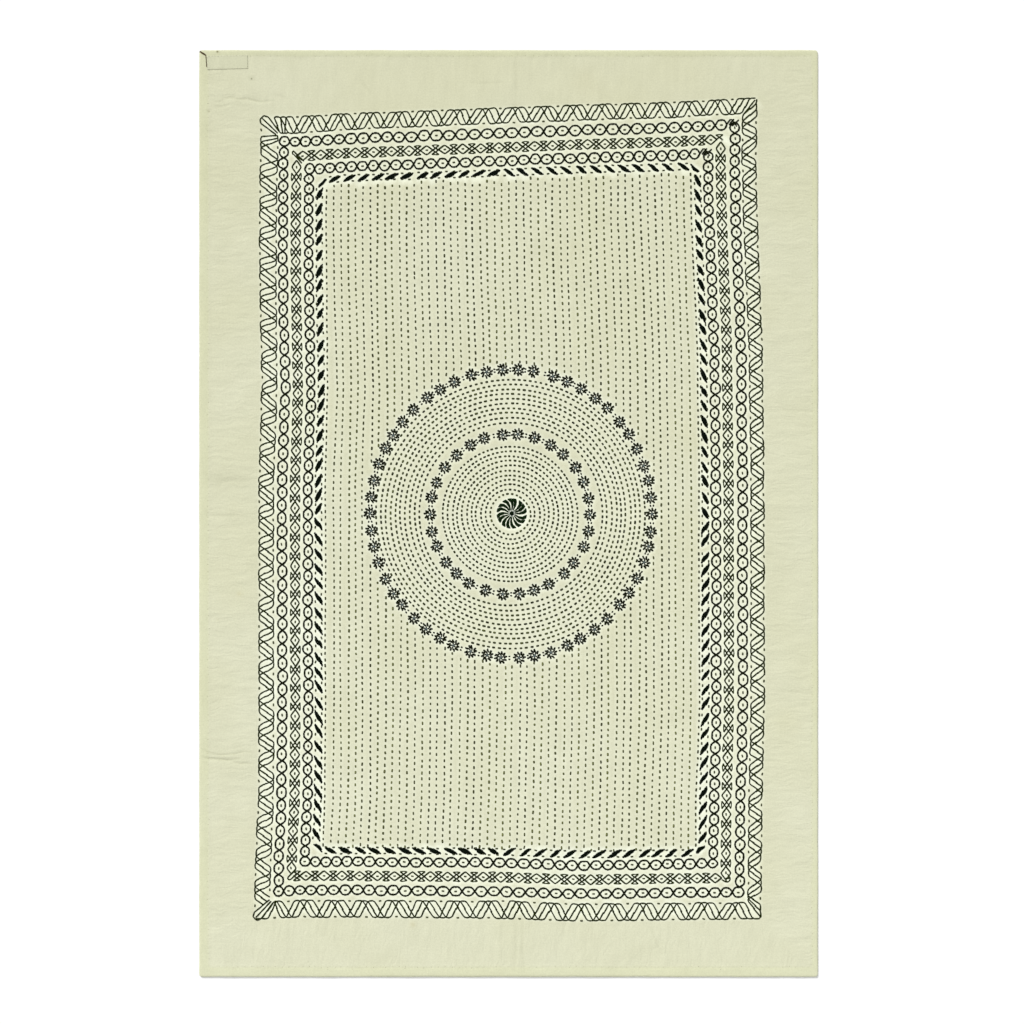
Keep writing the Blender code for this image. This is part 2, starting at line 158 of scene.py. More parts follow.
# The chains' top right corner: both ends of each stitch, (to the right, up) from where the sides meet.
CHAIN_CORNER_STROKES = (
    ((-0.013, -0.002), (-0.006, 0.008)),
    ((-0.009, -0.002), (-0.001, 0.008)),
    ((-0.006, 0.008), (0.003, -0.004)),
    ((0.006, 0.007), (-0.005, -0.003)),
)
CHAIN_CORNER_THREAD = 0.0024

# The lozenges: where the first starts and the last ends, how many there are, and their size.
LOZENGES = by_side(0.0530, 0.0520, 0.0580, 0.0605)
LOZENGE_FIRST = by_side(0.158, 0.131, 0.139, 0.144)
LOZENGE_LAST = by_side(1.216, 1.224, 0.765, 0.773)
LOZENGE_COUNT = by_side(38, 39, 24, 24)
LOZENGE_SHARE = 0.69            # the lozenge's share of its repeat; the rest is lattice
LOZENGE_HALF_WIDTH = 0.0064
LOZENGE_WIDTHS = (0.93, 1.07)   # as shares of the mean
LOZENGE_BLUNTING = 0.0011       # half the short side across each of a lozenge's wide corners
LOZENGE_STITCH = 0.0112
# A lattice: how far out from the band's middle its crossing, its side corners and its tip are, and how
# far along those side corners are, as a share of its room.
LATTICE_CROSSING = 0.0031
LATTICE_SIDE = 0.0066
LATTICE_TIP = 0.0072
LATTICE_SPREAD = 1.32
LATTICE_STITCH = 0.0060

# The satin bars, which stop short of both corners.
SATIN_BARS = by_side(0.0875, 0.0865, 0.0950, 0.0980)
SATIN_PITCH = by_side(0.0221, 0.0218, 0.0214, 0.0220)
SATIN_LAPS = (-0.011, -0.011)
SATIN_LEAN = 0.0052             # how far a bar reaches either side of its band's middle
SATIN_HALF_LENGTH = 0.0102
SATIN_LENGTHS = (0.85, 1.12)    # as shares of that
# A bar's stitches: where each starts and ends, as shares of the half length, and how far aside it lies.
SATIN_STRANDS = (
    (-1.00, 0.75, -0.0005),
    (-0.75, 1.00, 0.0005),
    (-0.88, 0.45, -0.0014),
    (-0.45, 0.88, 0.0014),
    (-0.60, 0.30, -0.0024),
    (-0.30, 0.55, 0.0024),
)
# The small stitches beside a bar: how far along, as shares of a repeat, and how far aside.
SATIN_DOTS_ALONG = (-0.30, 0.22)
SATIN_DOTS_ASIDE = (-0.0046, 0.0044)

# The zigzag's lines along its corners' diagonals, point by point: the corner that a point is measured
# from, the zigzag's outer or inner one, then how far in from it and how far across.
LEFT_CORNER_BARS = (
    (("inner", 0.0, -0.0030), ("outer", 0.0068, -0.0070), ("outer", 0.0012, -0.0040),
     ("outer", 0.0012, 0.0040), ("outer", 0.0068, 0.0070), ("inner", 0.0, 0.0030)),
    (("inner", 0.0, 0.0), ("outer", 0.0030, 0.0)),
)
CORNER_BARS = {
    ("left", "top"): LEFT_CORNER_BARS,
    ("left", "bottom"): LEFT_CORNER_BARS,
    ("right", "top"): ((("inner", 0.0, -0.0010), ("outer", 0.0040, 0.0)),),
    ("right", "bottom"): (),
}
CORNER_BAR_STITCH = 0.012
CORNER_BAR_LAP = 0.001          # how far the lines pass the zigzag's inner corner
# The satin stitches round each corner: how far in from the band's corner, and half their length.
CORNER_SATIN = ((0.0040, 0.0078), (0.0050, 0.0092), (0.0060, 0.0070), (0.0069, 0.0040))
CORNER_SATIN_BEND = 0.0012
# The lines in the lozenge band's corners: (in along the corner's diagonal, across it) from its middle.
CORNER_STROKES = {
    ("left", "top"): (
        ((0.013, -0.002), (-0.005, -0.002)),
        ((0.013, 0.002), (-0.009, 0.002)),
        ((-0.005, -0.002), (-0.009, 0.0), (-0.009, 0.002)),
    ),
    ("left", "bottom"): (
        ((0.008, -0.0025), (-0.005, -0.0025), (-0.007, 0.0), (-0.005, 0.0025), (0.008, 0.0025)),
    ),
    ("right", "bottom"): (
        ((0.002, -0.006), (-0.005, -0.004), (-0.007, 0.0), (-0.005, 0.004), (0.002, 0.006)),
        ((-0.005, -0.004), (0.0, 0.0), (-0.005, 0.004)),
    ),
}

# ---- the field and the medallion ----

ROW_COUNT = 51
ROW_PITCH = 0.00912             # from one running stitch to the next
ROW_STITCH = 0.0055
ROW_STITCHES = (0.8, 1.15)      # a stitch's length as a share of that
ROW_GIRTHS = (0.88, 1.12)       # a row's thread, as a share of the mean
ROW_PALENESS = (0.55, 1.6)
END_ROW_PALENESS = 0.6          # of the first and the last row
ROW_FADING = 0.3                # how much paler a row's last stitches are than its first
ROW_DRIFT = 0.00022             # how far a row wanders sideways from one stitch to the next

MEDALLION_CENTRE = np.array((0.0037, -0.0004))
INNER_CENTRE = np.array((0.0025, -0.0010))      # of the inner rings
MEDALLION_RADIUS = 0.2190
RingSet = namedtuple("RingSet", "inner_radius outer_radius count pitch stitch")
RING_SETS = (
    RingSet(0.0296, 0.0992, 11, 0.0067, 0.0051),
    RingSet(0.1347, 0.1975, 10, 0.0080, 0.0056),
)
RING_WAVE = 0.00035             # how far a ring wanders in and out
RING_STITCHES = (0.85, 1.12)    # a stitch's length as a share of the mean
RING_PALENESS = (0.9, 2.1)
RING_SHADES = (0.5, 1.5)        # a stitch's paleness as a share of its ring's
RosetteRing = namedtuple("RosetteRing", "radius_x radius_y count")
ROSETTE_RINGS = (
    RosetteRing(0.1176, 0.1176, 30),
    RosetteRing(0.2073, 0.2117, 54),
)
ROSETTE_RADIUS = 0.0098
ROSETTE_ARMS = 10
ROSETTE_SHADES = (0.8, 1.4)
# An arm's foot and tip, as shares of the rosette's radius, and how far round from its angle they are.
Arm = namedtuple("Arm", "foot tip foot_turn tip_turn width bend lift")
LONG_ARM = Arm(0.44, 1.04, 0.0, 0.58, 1.0, 0.0006, 1.2)
SHORT_ARM = Arm(0.16, 0.50, -0.5, 0.1, 0.7, 0.0003, 1.0)
CORE_RADIUS = 0.0031
CORE_THREAD = 0.0010

WHEEL_CENTRE = np.array((0.0047, 0.0001))
WHEEL_PETALS = 16
WHEEL_HUB_RADIUS = 0.0050
WHEEL_RADIUS = 0.0222
# A petal: its strands' places across it, the places along them, their distance from its line at its
# foot and how much more that is at its tip, how far the petal dips back on its way, and its swirl.
PETAL_STRANDS = (-1.0, -0.33, 0.33, 1.0)
PETAL_PLACES = (0.0, 0.36, 0.7, 1.0)
PETAL_FOOT = 0.0003
PETAL_FLARE = 0.0019
PETAL_DIPS = (0.10, 0.20)
PETAL_SWIRLS = (0.16, 0.26)
KNOT_RADII = (0.0016, 0.0074)   # where the light stitches over the petals' feet start and end
HUB_STITCH = 0.0072

# ---- the cloth ----

MARGIN_HEIGHT = 0.0025
PUFF_HEIGHT = 0.0031            # quilted cloth half way between two lines of stitching
HEM_HEIGHT = 0.0031
HEM_WIDTH = by_side(0.0132, 0.0088, 0.0088, 0.0147)
HEM_ENDS = 0.02                 # how far from the corners the hem's stitches start and end
HEM_SPACING = (0.0075, 0.0115)
HEM_WAVE = 0.0006               # how far the line of stitches wavers
SPECK_CHANCE = 0.10             # of a dark speck beside a stitch
CORNER_RADIUS = 0.004
OUTLINE_STEP = 0.004            # between the points of the outline
LEAST_CORNER_RADIUS = 0.0012    # of the loops drawn in from the outline
BORDER_RISE = 0.008             # over this width, the cloth rises from the margin to the border
HEM_RISE = 0.0024
HEM_UNEVENNESS = 0.0004
# How far stitches draw the cloth down, broadly around them and in the dimple of a single stitch: the
# pull, how far round it reaches, and the length of stitch in a cell, in cells, that gives most of it.
BROAD_PULL, BROAD_REACH, BROAD_DENSITY = 0.00055, 0.0027, 0.12
LOCAL_PULL, LOCAL_REACH, LOCAL_DENSITY = 0.00045, 0.0013, 0.25
RIPPLE_HEIGHT = 0.00013
RIPPLE_SIZE = (0.0085, 0.0021)  # a ripple's length and width
BROAD_WAVES = 0.00010           # the height of the cloth's own unevenness
FINE_WAVES = 0.00007
CELL = 0.001                    # size of the height map's cells

# Creases left by folding and storing: `height` is negative for a trough.
Crease = namedtuple("Crease", "height half_width points")
CREASES = [Crease(*row) for row in (
    # across the left margin: three troughs, and the ridges between them
    (-0.00080, 0.0014, ((-0.454, -0.345), (-0.439, -0.352), (-0.424, -0.355), (-0.402, -0.3535),
                        (-0.390, -0.350), (-0.372, -0.352))),
    (-0.00105, 0.0016, ((-0.453, -0.3565), (-0.444, -0.360), (-0.428, -0.361), (-0.412, -0.3625),
                        (-0.393, -0.360))),
    (-0.00070, 0.0014, ((-0.408, -0.364), (-0.395, -0.3675), (-0.374, -0.3675))),
    (0.00055, 0.0030, ((-0.450, -0.350), (-0.430, -0.357), (-0.410, -0.357), (-0.380, -0.360))),
    (0.00035, 0.0040, ((-0.440, -0.368), (-0.415, -0.369), (-0.380, -0.374))),
    # top left corner
    (-0.00075, 0.0014, ((-0.432, 0.606), (-0.424, 0.606), (-0.417, 0.611), (-0.404, 0.611),
                        (-0.396, 0.609), (-0.383, 0.610), (-0.374, 0.607), (-0.363, 0.605),
                        (-0.342, 0.607))),
    (0.00040, 0.0030, ((-0.430, 0.602), (-0.400, 0.606), (-0.370, 0.601), (-0.345, 0.602))),
    (-0.00025, 0.0018, ((-0.350, 0.615), (-0.335, 0.614), (-0.322, 0.607))),
    (-0.00022, 0.0020, ((-0.440, 0.600), (-0.426, 0.599), (-0.410, 0.600))),
    # the middle fold across the quilt
    (-0.00035, 0.0120, ((-0.454, 0.052), (-0.400, 0.050), (-0.372, 0.048))),
    (-0.00030, 0.0022, ((-0.450, -0.002), (-0.420, -0.003), (-0.374, -0.002))),
    (0.00035, 0.0060, ((0.375, 0.015), (0.420, 0.014), (0.454, 0.014))),
    (0.00018, 0.0070, ((-0.374, 0.016), (-0.200, 0.015), (0.000, 0.014), (0.375, 0.015))),
    # the middle folds along the quilt
    (0.00028, 0.0040, ((0.003, 0.680), (0.005, 0.640), (0.004, 0.590))),
    (-0.00030, 0.0022, ((0.011, 0.680), (0.012, 0.620), (0.010, 0.590))),
    (0.00022, 0.0060, ((0.006, 0.590), (0.004, 0.400), (0.006, 0.220))),
    (0.00030, 0.0040, ((0.026, -0.215), (0.027, -0.450), (0.026, -0.620), (0.030, -0.680))),
    (-0.00032, 0.0022, ((0.021, -0.590), (0.020, -0.640), (0.023, -0.678))),
    (0.00028, 0.0035, ((0.004, -0.230), (0.005, -0.600), (0.006, -0.680))),
    (-0.00030, 0.0020, ((0.010, -0.590), (0.011, -0.640), (0.009, -0.678))),
    (-0.00022, 0.0020, ((-0.012, -0.600), (-0.011, -0.650), (-0.013, -0.672))),
    # right margin
    (-0.00028, 0.0020, ((0.378, 0.391), (0.410, 0.390), (0.452, 0.391))),
    (-0.00028, 0.0020, ((0.378, 0.323), (0.420, 0.321), (0.452, 0.323))),
    (-0.00020, 0.0020, ((0.384, 0.150), (0.420, 0.152), (0.450, 0.149))),
    (-0.00024, 0.0020, ((0.384, -0.260), (0.415, -0.262), (0.450, -0.259))),
    # bottom and top margins
    (0.00045, 0.0025, ((0.214, -0.604), (0.222, -0.625), (0.232, -0.648), (0.240, -0.668))),
    (-0.00030, 0.0020, ((0.209, -0.606), (0.217, -0.630), (0.226, -0.650))),
    (-0.00028, 0.0020, ((-0.219, 0.638), (-0.210, 0.628), (-0.201, 0.616))),
    (-0.00022, 0.0018, ((-0.060, 0.633), (-0.030, 0.632), (0.000, 0.635))),
)]

# Marks on the cloth: centre, radius, and what the mark multiplies the cloth's colour by.
Mark = namedtuple("Mark", "x y radius red green blue")
MARKS = [Mark(*row) for row in (
    (-0.1404, -0.6042, 0.0045, 0.93, 0.90, 0.84),
    (-0.4278, 0.6789, 0.0015, 0.30, 0.27, 0.18),
    (-0.3778, 0.6391, 0.0014, 0.40, 0.40, 0.34),
    (-0.4405, 0.5910, 0.0016, 0.80, 0.79, 0.72),
    (-0.3960, -0.1180, 0.0040, 0.97, 0.95, 0.90),
    (-0.4270, -0.1560, 0.0013, 0.86, 0.84, 0.80),
    (-0.3340, 0.0700, 0.0250, 0.985, 0.975, 0.955),
    (0.4100, -0.3050, 0.0220, 0.985, 0.980, 0.960),
    (0.1150, 0.6350, 0.0200, 0.990, 0.982, 0.965),
)]

# The dark thread in the top left corner, (to the right, up) from it: the knot's strands and the tail.
CORNER_KNOT = ((0.0010, -0.0022), (0.0036, -0.0032), (0.0062, -0.0060), (0.0098, -0.0080))
CORNER_TAIL = ((0.0100, -0.0080), (0.0107, -0.0150), (0.0114, -0.0252))

# Faint pencil lines left from marking out.
Pencil = namedtuple("Pencil", "x0 y0 x1 y1")
PENCIL_LINES = [Pencil(*row) for row in (
    (-0.2035, 0.0550, -0.1860, 0.0520),
    (-0.2140, 0.0200, -0.2000, 0.0275),
    (-0.0130, 0.0410, 0.0090, 0.0440),
    (-0.0480, 0.0125, -0.0390, 0.0060),
)]

EDGE_INSETS = (0.0, 0.0007, 0.0017, 0.0031)     # of the loops of points along the edge
EDGE_WAVER = 0.00022
EDGE_ROUNDING = 0.0026          # how far in the hem starts to round down
EDGE_HEIGHT_AT_RIM = 0.0015
ABOVE_ALL = 0.05                # higher than anything on the quilt
NEAR_CORNER = 0.09              # along a side: the depths here are those at its corner
POINT_SCATTER = 0.12            # as a share of the step from point to point
MEDALLION_STEP = 0.0036
WHEEL_POINT_RADII = (0.0028, 0.0060, 0.0100, 0.0145, 0.0190, 0.0230, 0.0258)
WALL_STEPS = ((0.0, 0.0006), (0.0006, 0.0))     # the wall below the rim: (inset, height)
TOP_RIPPLES = 0.15              # how strong the top margin's fine ripples are, next to the bottom one's

SHARP_CREASE = 0.0030           # creases up to this half width get points of their own
CREASE_STEP = 0.0024            # between those points
CREASE_ROWS = (-1.8, -0.9, 0.0, 0.9, 1.8)       # across the crease, as shares of its half width
DARK_CREASE = 0.0008            # troughs this deep get the full painted shade

# The cloth's colour at the quilt's top and bottom ends, the darker top end being painted shade, and what
# the hem, the closely quilted cloth (painted highlight) and the creases (painted shade) multiply it by.
CLOTH_UPPER = (0.652, 0.652, 0.464)
CLOTH_LOWER = (0.704, 0.708, 0.518)
HEM_TINT = (0.990, 1.000, 0.945)
# painted highlight: the closely quilted cloth made paler, as its puffs would be where they catch the light
QUILTED_HIGHLIGHT_TINT = (1.40, 1.45, 1.64)
# painted shade in the creases' troughs
CREASE_SHADE_TINT = (0.85, 0.85, 0.83)
CLOTH_MOTTLES = ((0.030, (0.006, 0.007, 0.016)), (0.006, (0.008, 0.008, 0.010)))    # size and strength

# ---- the label ----

LABEL_CENTRE = (np.array(LABEL_LOW[:2]) + np.array(LABEL_HIGH[:2])) / 2
LABEL_SIZE = (0.0600, 0.0206)
LABEL_THICKNESS = 0.00014
LABEL_PUFF = 0.00006            # how much its middle stands over its edge
LABEL_FLAT_RIM = 0.0008         # the edge that lies flat, and how wide the rise beside it is
LABEL_RISE = 0.003
LABEL_ROUNDS = 3                # of bridging the dimples under it
LABEL_CLEARANCE = 0.00006       # over the cloth
LABEL_SEAM = 0.0009             # how far in from its edge its stitches run
LABEL_STITCH = 0.0026
LABEL_STITCH_PITCH = 0.0046
LABEL_GRID = (41, 15)           # the label's points along and across
LABEL_TURN = 1.5                # degrees
LABEL_COLOUR = (0.632, 0.637, 0.452)
LABEL_RIM = 0.0012              # how far in from its edge the label darkens, and by how much
LABEL_RIM_FADE = (0.035, 0.035, 0.03)

# ---- threads ----

STITCH_SHADES = (0.8, 1.2)      # a stitch's paleness and width, as shares of its thread's
STITCH_WIDTHS = (0.9, 1.1)
BACK_STITCH = 0.0052
BACK_STITCH_OVERLAP = 0.0007    # at each end
BACK_STITCH_BEND = 0.00015
THREAD_SIDES = 5
THREAD_FLATNESS = 0.5
# A stitch from one tip to the other: how much of its bend each place has, and how high it lies there,
# as a share of its width.
THREAD_BOW = (0.0, 0.35, 1.0, 0.35, 0.0)
THREAD_RISE = (-0.30, 0.08, 0.16, 0.08, -0.30)
THREAD_SWELL = (0.86, 1.0, 0.86)        # its three rings' width
RING_TONES = (0.7, 1.15, 0.7)
TIP_TONE = 0.6
TIP_LENGTH = 0.0009             # or this share of the stitch, where that is less
TIP_SHARE = 0.22
STITCHES_IN_A_PIECE = 6500      # of 30 triangles each
ZIGZAG_THREAD = 0.0023
CHAIN_THREAD = 0.0029
LOZENGE_THREAD = 0.0025
SATIN_THREAD = 0.0026
RUNNING_THREAD = 0.0027
RING_THREAD = 0.0029
ROSETTE_THREAD = 0.0030
WHEEL_THREADS = (0.0011, 0.0016, 0.0020)       # from the hub outwards
HUB_THREAD = 0.0024
KNOT_THREAD = 0.0009
HEM_THREAD = 0.0006
SPECK_THREAD = 0.0005
LABEL_THREAD = 0.0005
DOT_THREAD = 0.0024
DOT_LENGTH = 0.0052

# Each piece of embroidery or sewing, and the thread it is worked in.
THREAD_PIECES = {
    "zigzag_border": "olive_thread",
    "outer_chain_border": "black_thread",
    "inner_chain_border": "black_thread",
    "lozenge_border": "olive_thread",
    "satin_bar_border": "teal_thread",
    "border_dots": "dot_thread",
    "field_running_stitch": "field_thread",
    "medallion_rings": "green_thread",
    "rosettes": "black_thread",
    "rosette_cores": "slate_thread",
    "wheel_petals": "dark_green_thread",
    "wheel_knot": "slate_thread",
    "hem_stitches": "cream_thread",
    "hem_specks": "brown_thread",
    "corner_thread": "brown_thread",
    "pencil_lines": "pencil",
    "label_stitches": "cream_thread",
}
LYING_PIECES = ("hem_specks", "corner_thread", "pencil_lines", "label_stitches")    # don't draw it down
THREAD_COLOURS = {
    "black_thread": srgb(21, 25, 6),
    "teal_thread": srgb(3, 11, 3),
    "green_thread": srgb(52, 56, 28),
    "field_thread": srgb(80, 83, 49),
    "olive_thread": srgb(36, 44, 8),
    "dot_thread": srgb(72, 76, 50),
    "dark_green_thread": srgb(14, 35, 7),
    "slate_thread": srgb(88, 100, 100),
    "cream_thread": srgb(205, 203, 172),
    "brown_thread": srgb(84, 66, 46),
    "pencil": srgb(165, 150, 135),
}

# ---- floor, light and camera ----

CAMERA_AIM = (0.0051, 0.0022)
CAMERA_HEIGHT = 3.557
FLOOR_REACH = 30.0
FLOOR_LEVEL = -0.0004           # just under the quilt's flat underside
FLOOR_COLOUR = (0.98, 0.98, 0.98, 1.0)
SKY_STRENGTH = 0.42
# name, strength, azimuth (0 is the quilt's right, 90 its top), elevation and spread in degrees
STUDIO_LIGHTS = (
    ("key_light", 2.45, 120, 38, 10),
    ("fill_light", 0.60, 300, 60, 30),
)


# ---- laying out the stitches ----

def along_side(table, side, along):
    """A table's value at a place along a side, linear between the places that it names."""
    places, values = np.transpose(table[side])
    return np.interp(along, places, values)


def border_margin(side, along):
    """How far in from a side's edge the border's outer line is."""
    return along_side(BORDER_EDGE, side, along)


def side_point(side, along, depth):
    """The point `depth` in from a side's edge, `along` from the top or the left edge."""
    if side in ("left", "right"):
        x = WIDTH / 2 - depth
        return np.stack((-x if side == "left" else x, LENGTH / 2 - along), -1)
    y = LENGTH / 2 - depth
    return np.stack((along - WIDTH / 2, -y if side == "bottom" else y), -1)


def border_point(side, along, inset):
    """The point `inset` in from the border's outer line."""
    return side_point(side, along, border_margin(side, along) + inset)


def band_reach(band, side):
    """Where a band starts and ends along a side: its two corners."""
    first, last = SIDE_ENDS[side]
    ends = []
    for other in (first, last):
        along = 0.1
        for _ in range(4):      # each round comes closer to where the two sides' lines cross
            depth = border_margin(side, along) + band[side]
            other_along = depth if side in ("top", "left") else SIDE_LENGTH[other] - depth
            inset = border_margin(other, other_along) + band[other]
            along = inset if other == first else SIDE_LENGTH[side] - inset
        ends.append(along)
    return ends


def band_corner(band, upright, level):
    """The corner of a band where the left or right side meets the top or bottom one."""
    top_end, bottom_end = band_reach(band, upright)
    return border_point(upright, top_end if level == "top" else bottom_end, band[upright])


def heading(angle):
    """The direction at an angle, as a vector one unit long."""
    return np.array((math.cos(angle), math.sin(angle)))


def turned(ahead):
    """A direction turned a quarter to the left."""
    return np.array((-ahead[1], ahead[0]))


class Thread:
    """The stitches worked in one thread: ends, sideways bend, width, lift and shade of each.

    Lift is how high a stitch stands for its width. A shade above 1 is paler than the thread's colour.
    """

    def __init__(self, name, colour_name):
        self.name = name
        self.colour_name = colour_name
        self.stitches = []

    def stitch(self, start, end, width, bend=0.0, lift=1.0, shade=1.0):
        """One stitch; its width and shade vary a little, as hand-spun thread does."""
        shade = shade * rng.uniform(*STITCH_SHADES)
        width = width * rng.uniform(*STITCH_WIDTHS)
        self.stitches.append((*start, *end, bend, width, lift, shade))

    def run(self, points, width, length=BACK_STITCH, lift=1.0, shade=1.0):
        """Back stitches end to end along a line, each about `length` long."""
        for start, end in zip(points, points[1:]):
            start, end = np.asarray(start), np.asarray(end)
            reach = np.linalg.norm(end - start)
            count = max(1, round(reach / length))
            ahead = (end - start) / reach * BACK_STITCH_OVERLAP
            for index in range(count):
                first = start + (end - start) * index / count - ahead
                last = start + (end - start) * (index + 1) / count + ahead
                self.stitch(first, last, width, rng.normal(0, BACK_STITCH_BEND), lift, shade)


def jitter(size):
    """A random step in any direction, as uneven hand sewing gives."""
    return rng.normal(0, size, 2)


def repeats(band, side, pitch, laps, drift=(1.0, 1.0)):
    """(middle, length) of each repeat of a band's motif; `laps` is how far it passes the two corners."""
    start, end = band_reach(band, side)
    start, end = start - laps[0], end + laps[1]
    return spaced(start, end, round((end - start) / pitch), drift)


def spaced(start, end, count, drift=(1.0, 1.0)):
    """(middle, length) of each of `count` repeats from start to end; `drift` is how their length varies."""
    shares = np.interp(np.linspace(0, 1, count), np.linspace(0, 1, len(drift)), drift)
    shares = shares * rng.uniform(*REPEAT_LENGTHS, count)
    steps = (end - start) * shares / shares.sum()
    return list(zip(start + np.cumsum(steps) - steps / 2, steps))


def zigzag_width(side, along):
    """How far in from the outer line the zigzag's inner turns are."""
    return along_side(ZIGZAG_WIDTHS, side, along)


def zigzag_turns(side):
    """Clusters of four turns on the outer line, the same on the inner one, and the last bar's aims."""
    first, last = band_reach(OUTER_LINE, side)
    inner_first, inner_last = band_reach(ZIGZAG_WIDTH, side)
    count = ZIGZAG_COUNT[side]
    pitch = (ZIGZAG_LAST[side] - ZIGZAG_FIRST[side]) / count
    start = ZIGZAG_FIRST[side] + (pitch - 3 * ZIGZAG_STEP) / 2
    sway = ZIGZAG_SWAY * np.cumsum(rng.normal(0, 1, count + 2))
    slant = ZIGZAG_SLANT[side] + sway - sway.mean()

    def place(cluster, index, shift):
        return start + (cluster + shift) * pitch + index * ZIGZAG_STEP

    def uneven(along, inset):
        return along + rng.normal(0, UNEVENNESS), inset + rng.normal(0, UNEVENNESS)

    def outer_turn(cluster, index):
        along = max(place(cluster, index, 0.0), first + ZIGZAG_CORNER_GAP)
        return uneven(min(along, last - ZIGZAG_CORNER_GAP), 0.0)

    def inner_turn(cluster, index):
        # Next to a corner the inner line runs out, so its turns crowd together.
        along = place(cluster, index, slant[cluster + 1])
        along = max(along, inner_first + ZIGZAG_CORNER_GAP + ZIGZAG_CROWDING * index)
        along = min(along, inner_last - ZIGZAG_CORNER_GAP - ZIGZAG_CROWDING * (3 - index))
        return uneven(along, zigzag_width(side, along))

    outer = [[outer_turn(cluster, index) for index in range(4)] for cluster in range(-1, count + 1)]
    inner = [[inner_turn(cluster, index) for index in range(4)] for cluster in range(-1, count)]
    last_width = zigzag_width(side, ZIGZAG_LAST[side])
    aims = [np.array((place(count - 1, line, slant[count]), last_width)) for line in range(3)]
    return outer, inner, aims


def zigzag_line(side, line, outer, inner, aim):
    """One of the zigzag's three lines, from turn to turn as (along, inset)."""
    is_kinked = ZIGZAG_KINKED[side]
    path = []
    for near, after, beyond in zip(outer, inner, outer[1:]):
        path.extend((near[line], near[line + 1], after[line], after[line + 1]))
        if is_kinked:
            middle = (after[line + 1][0] + beyond[line][0]) / 2
            for step, depth in zip((-KINK_STEP, KINK_STEP), KINK_DEPTHS):
                path.append((middle + step, after[line + 1][1] * depth))
    path.extend((outer[-1][line], outer[-1][line + 1]))
    if line < 3 - LINES_BEFORE[side]:
        path = path[3:]
    if line >= LINES_AFTER[side]:
        # The last bar's lines stop at the corner's diagonal bar, the nearest one last.
        path = path[:-3 - 2 * is_kinked]
        turn = np.array(outer[-2][line + 1])
        path[-1] = tuple(turn + (aim - turn) * (1.0 - LINE_SHORTENING * line))
    return path


def zigzag_band(thread, dots):
    """The outermost band: bars of three lines that turn at both edges and cross there."""
    for side in SIDES:
        outer, inner, aims = zigzag_turns(side)
        for line, aim in enumerate(aims):
            path = rounded(zigzag_line(side, line, outer, inner, aim), ZIGZAG_TURN)
            for run in jointed([border_point(side, *point) for point in path]):
                thread.run(run, ZIGZAG_THREAD, length=ZIGZAG_STITCH)
        if LINES_BEFORE[side] == 0:
            thread.run([border_point(side, *inner[0][index]) for index in (1, 3)], ZIGZAG_THREAD)

        first, last = band_reach(OUTER_LINE, side)
        for here, after in zip(outer, outer[1:]):
            middle = (here[3][0] + after[0][0]) / 2
            if first + DOT_CORNER_GAP < middle < last - DOT_CORNER_GAP:
                dot(dots, side, middle, DOT_INSET)
        for here, after in zip(inner, inner[1:]):
            middle = (here[3][0] + after[0][0]) / 2
            dot(dots, side, middle, zigzag_width(side, middle) - DOT_INSET)


def jointed(points):
    """A zigzag line as runs that pass each other side by side part of the way along every bar."""
    runs, run = [], [points[0]]
    for start, end in zip(points, points[1:]):
        reach = np.linalg.norm(end - start)
        if reach > JOINTED_LENGTH:
            ahead = (end - start) / reach
            aside = turned(ahead) * JOINT_ASIDE
            middle = start + (end - start) * rng.uniform(*JOINT_SHARES)
            run.append(middle + ahead * JOINT_OVERLAP + aside)
            runs.append(run)
            run = [middle - ahead * JOINT_OVERLAP - aside]
        run.append(end)
    runs.append(run)
    return runs


def corner_bars(zigzag, satin):
    """At each of the border's corners: the zigzag's lines along the diagonal, and satin round the bend."""
    for (upright, level), bars in CORNER_BARS.items():
        outer = band_corner(OUTER_LINE, upright, level)
        inner = band_corner(ZIGZAG_WIDTH, upright, level)
        ahead = (outer - inner) / np.linalg.norm(outer - inner)
        aside = turned(ahead)
        origins = {"outer": outer, "inner": inner - ahead * CORNER_BAR_LAP}
        for bar in bars:
            points = [origins[origin] - ahead * back + aside * across + jitter(0.0003)
                      for origin, back, across in bar]
            zigzag.run(points, ZIGZAG_THREAD, length=CORNER_BAR_STITCH)

        bend = band_corner(SATIN_BARS, upright, level)
        for inward, reach in CORNER_SATIN:
            middle = bend - ahead * inward + jitter(0.0004)
            sideways = aside * reach
            satin.stitch(middle - sideways, middle + sideways, SATIN_THREAD, bend=CORNER_SATIN_BEND)


def corner_strokes(thread):
    """The stitches that fill three of the lozenge band's corners."""
    for (upright, level), strokes in CORNER_STROKES.items():
        corner = band_corner(LOZENGES, upright, level)
        inward = np.array((1.0 if upright == "left" else -1.0, -1.0 if level == "top" else 1.0))
        inward = inward / math.sqrt(2)
        aside = turned(inward)
        for stroke in strokes:
            points = [corner + inward * ahead + aside * across + jitter(0.0002) for ahead, across in stroke]
            thread.run(points, LOZENGE_THREAD * 0.9, length=0.0090, shade=1.2)


def chain_corner(thread, band):
    """The loose stitches that close a chain at its top right corner."""
    corner = band_corner(band, "right", "top")
    for ends in CHAIN_CORNER_STROKES:
        start, end = (corner + np.array(point) for point in ends)
        thread.stitch(start, end, CHAIN_CORNER_THREAD, bend=0.0004, lift=1.4)


def rounded(path, radius):
    """A path of (along, inset) nodes with its corners cut back by `radius`."""
    result = [path[0]]
    for before, corner, after in zip(path, path[1:], path[2:]):
        before, corner, after = np.array(before), np.array(corner), np.array(after)
        to_before = (before - corner) / np.linalg.norm(before - corner)
        to_after = (after - corner) / np.linalg.norm(after - corner)
        result.append(tuple(corner + to_before * radius))
        result.append(tuple(corner + to_after * radius))
    result.append(path[-1])
    return result


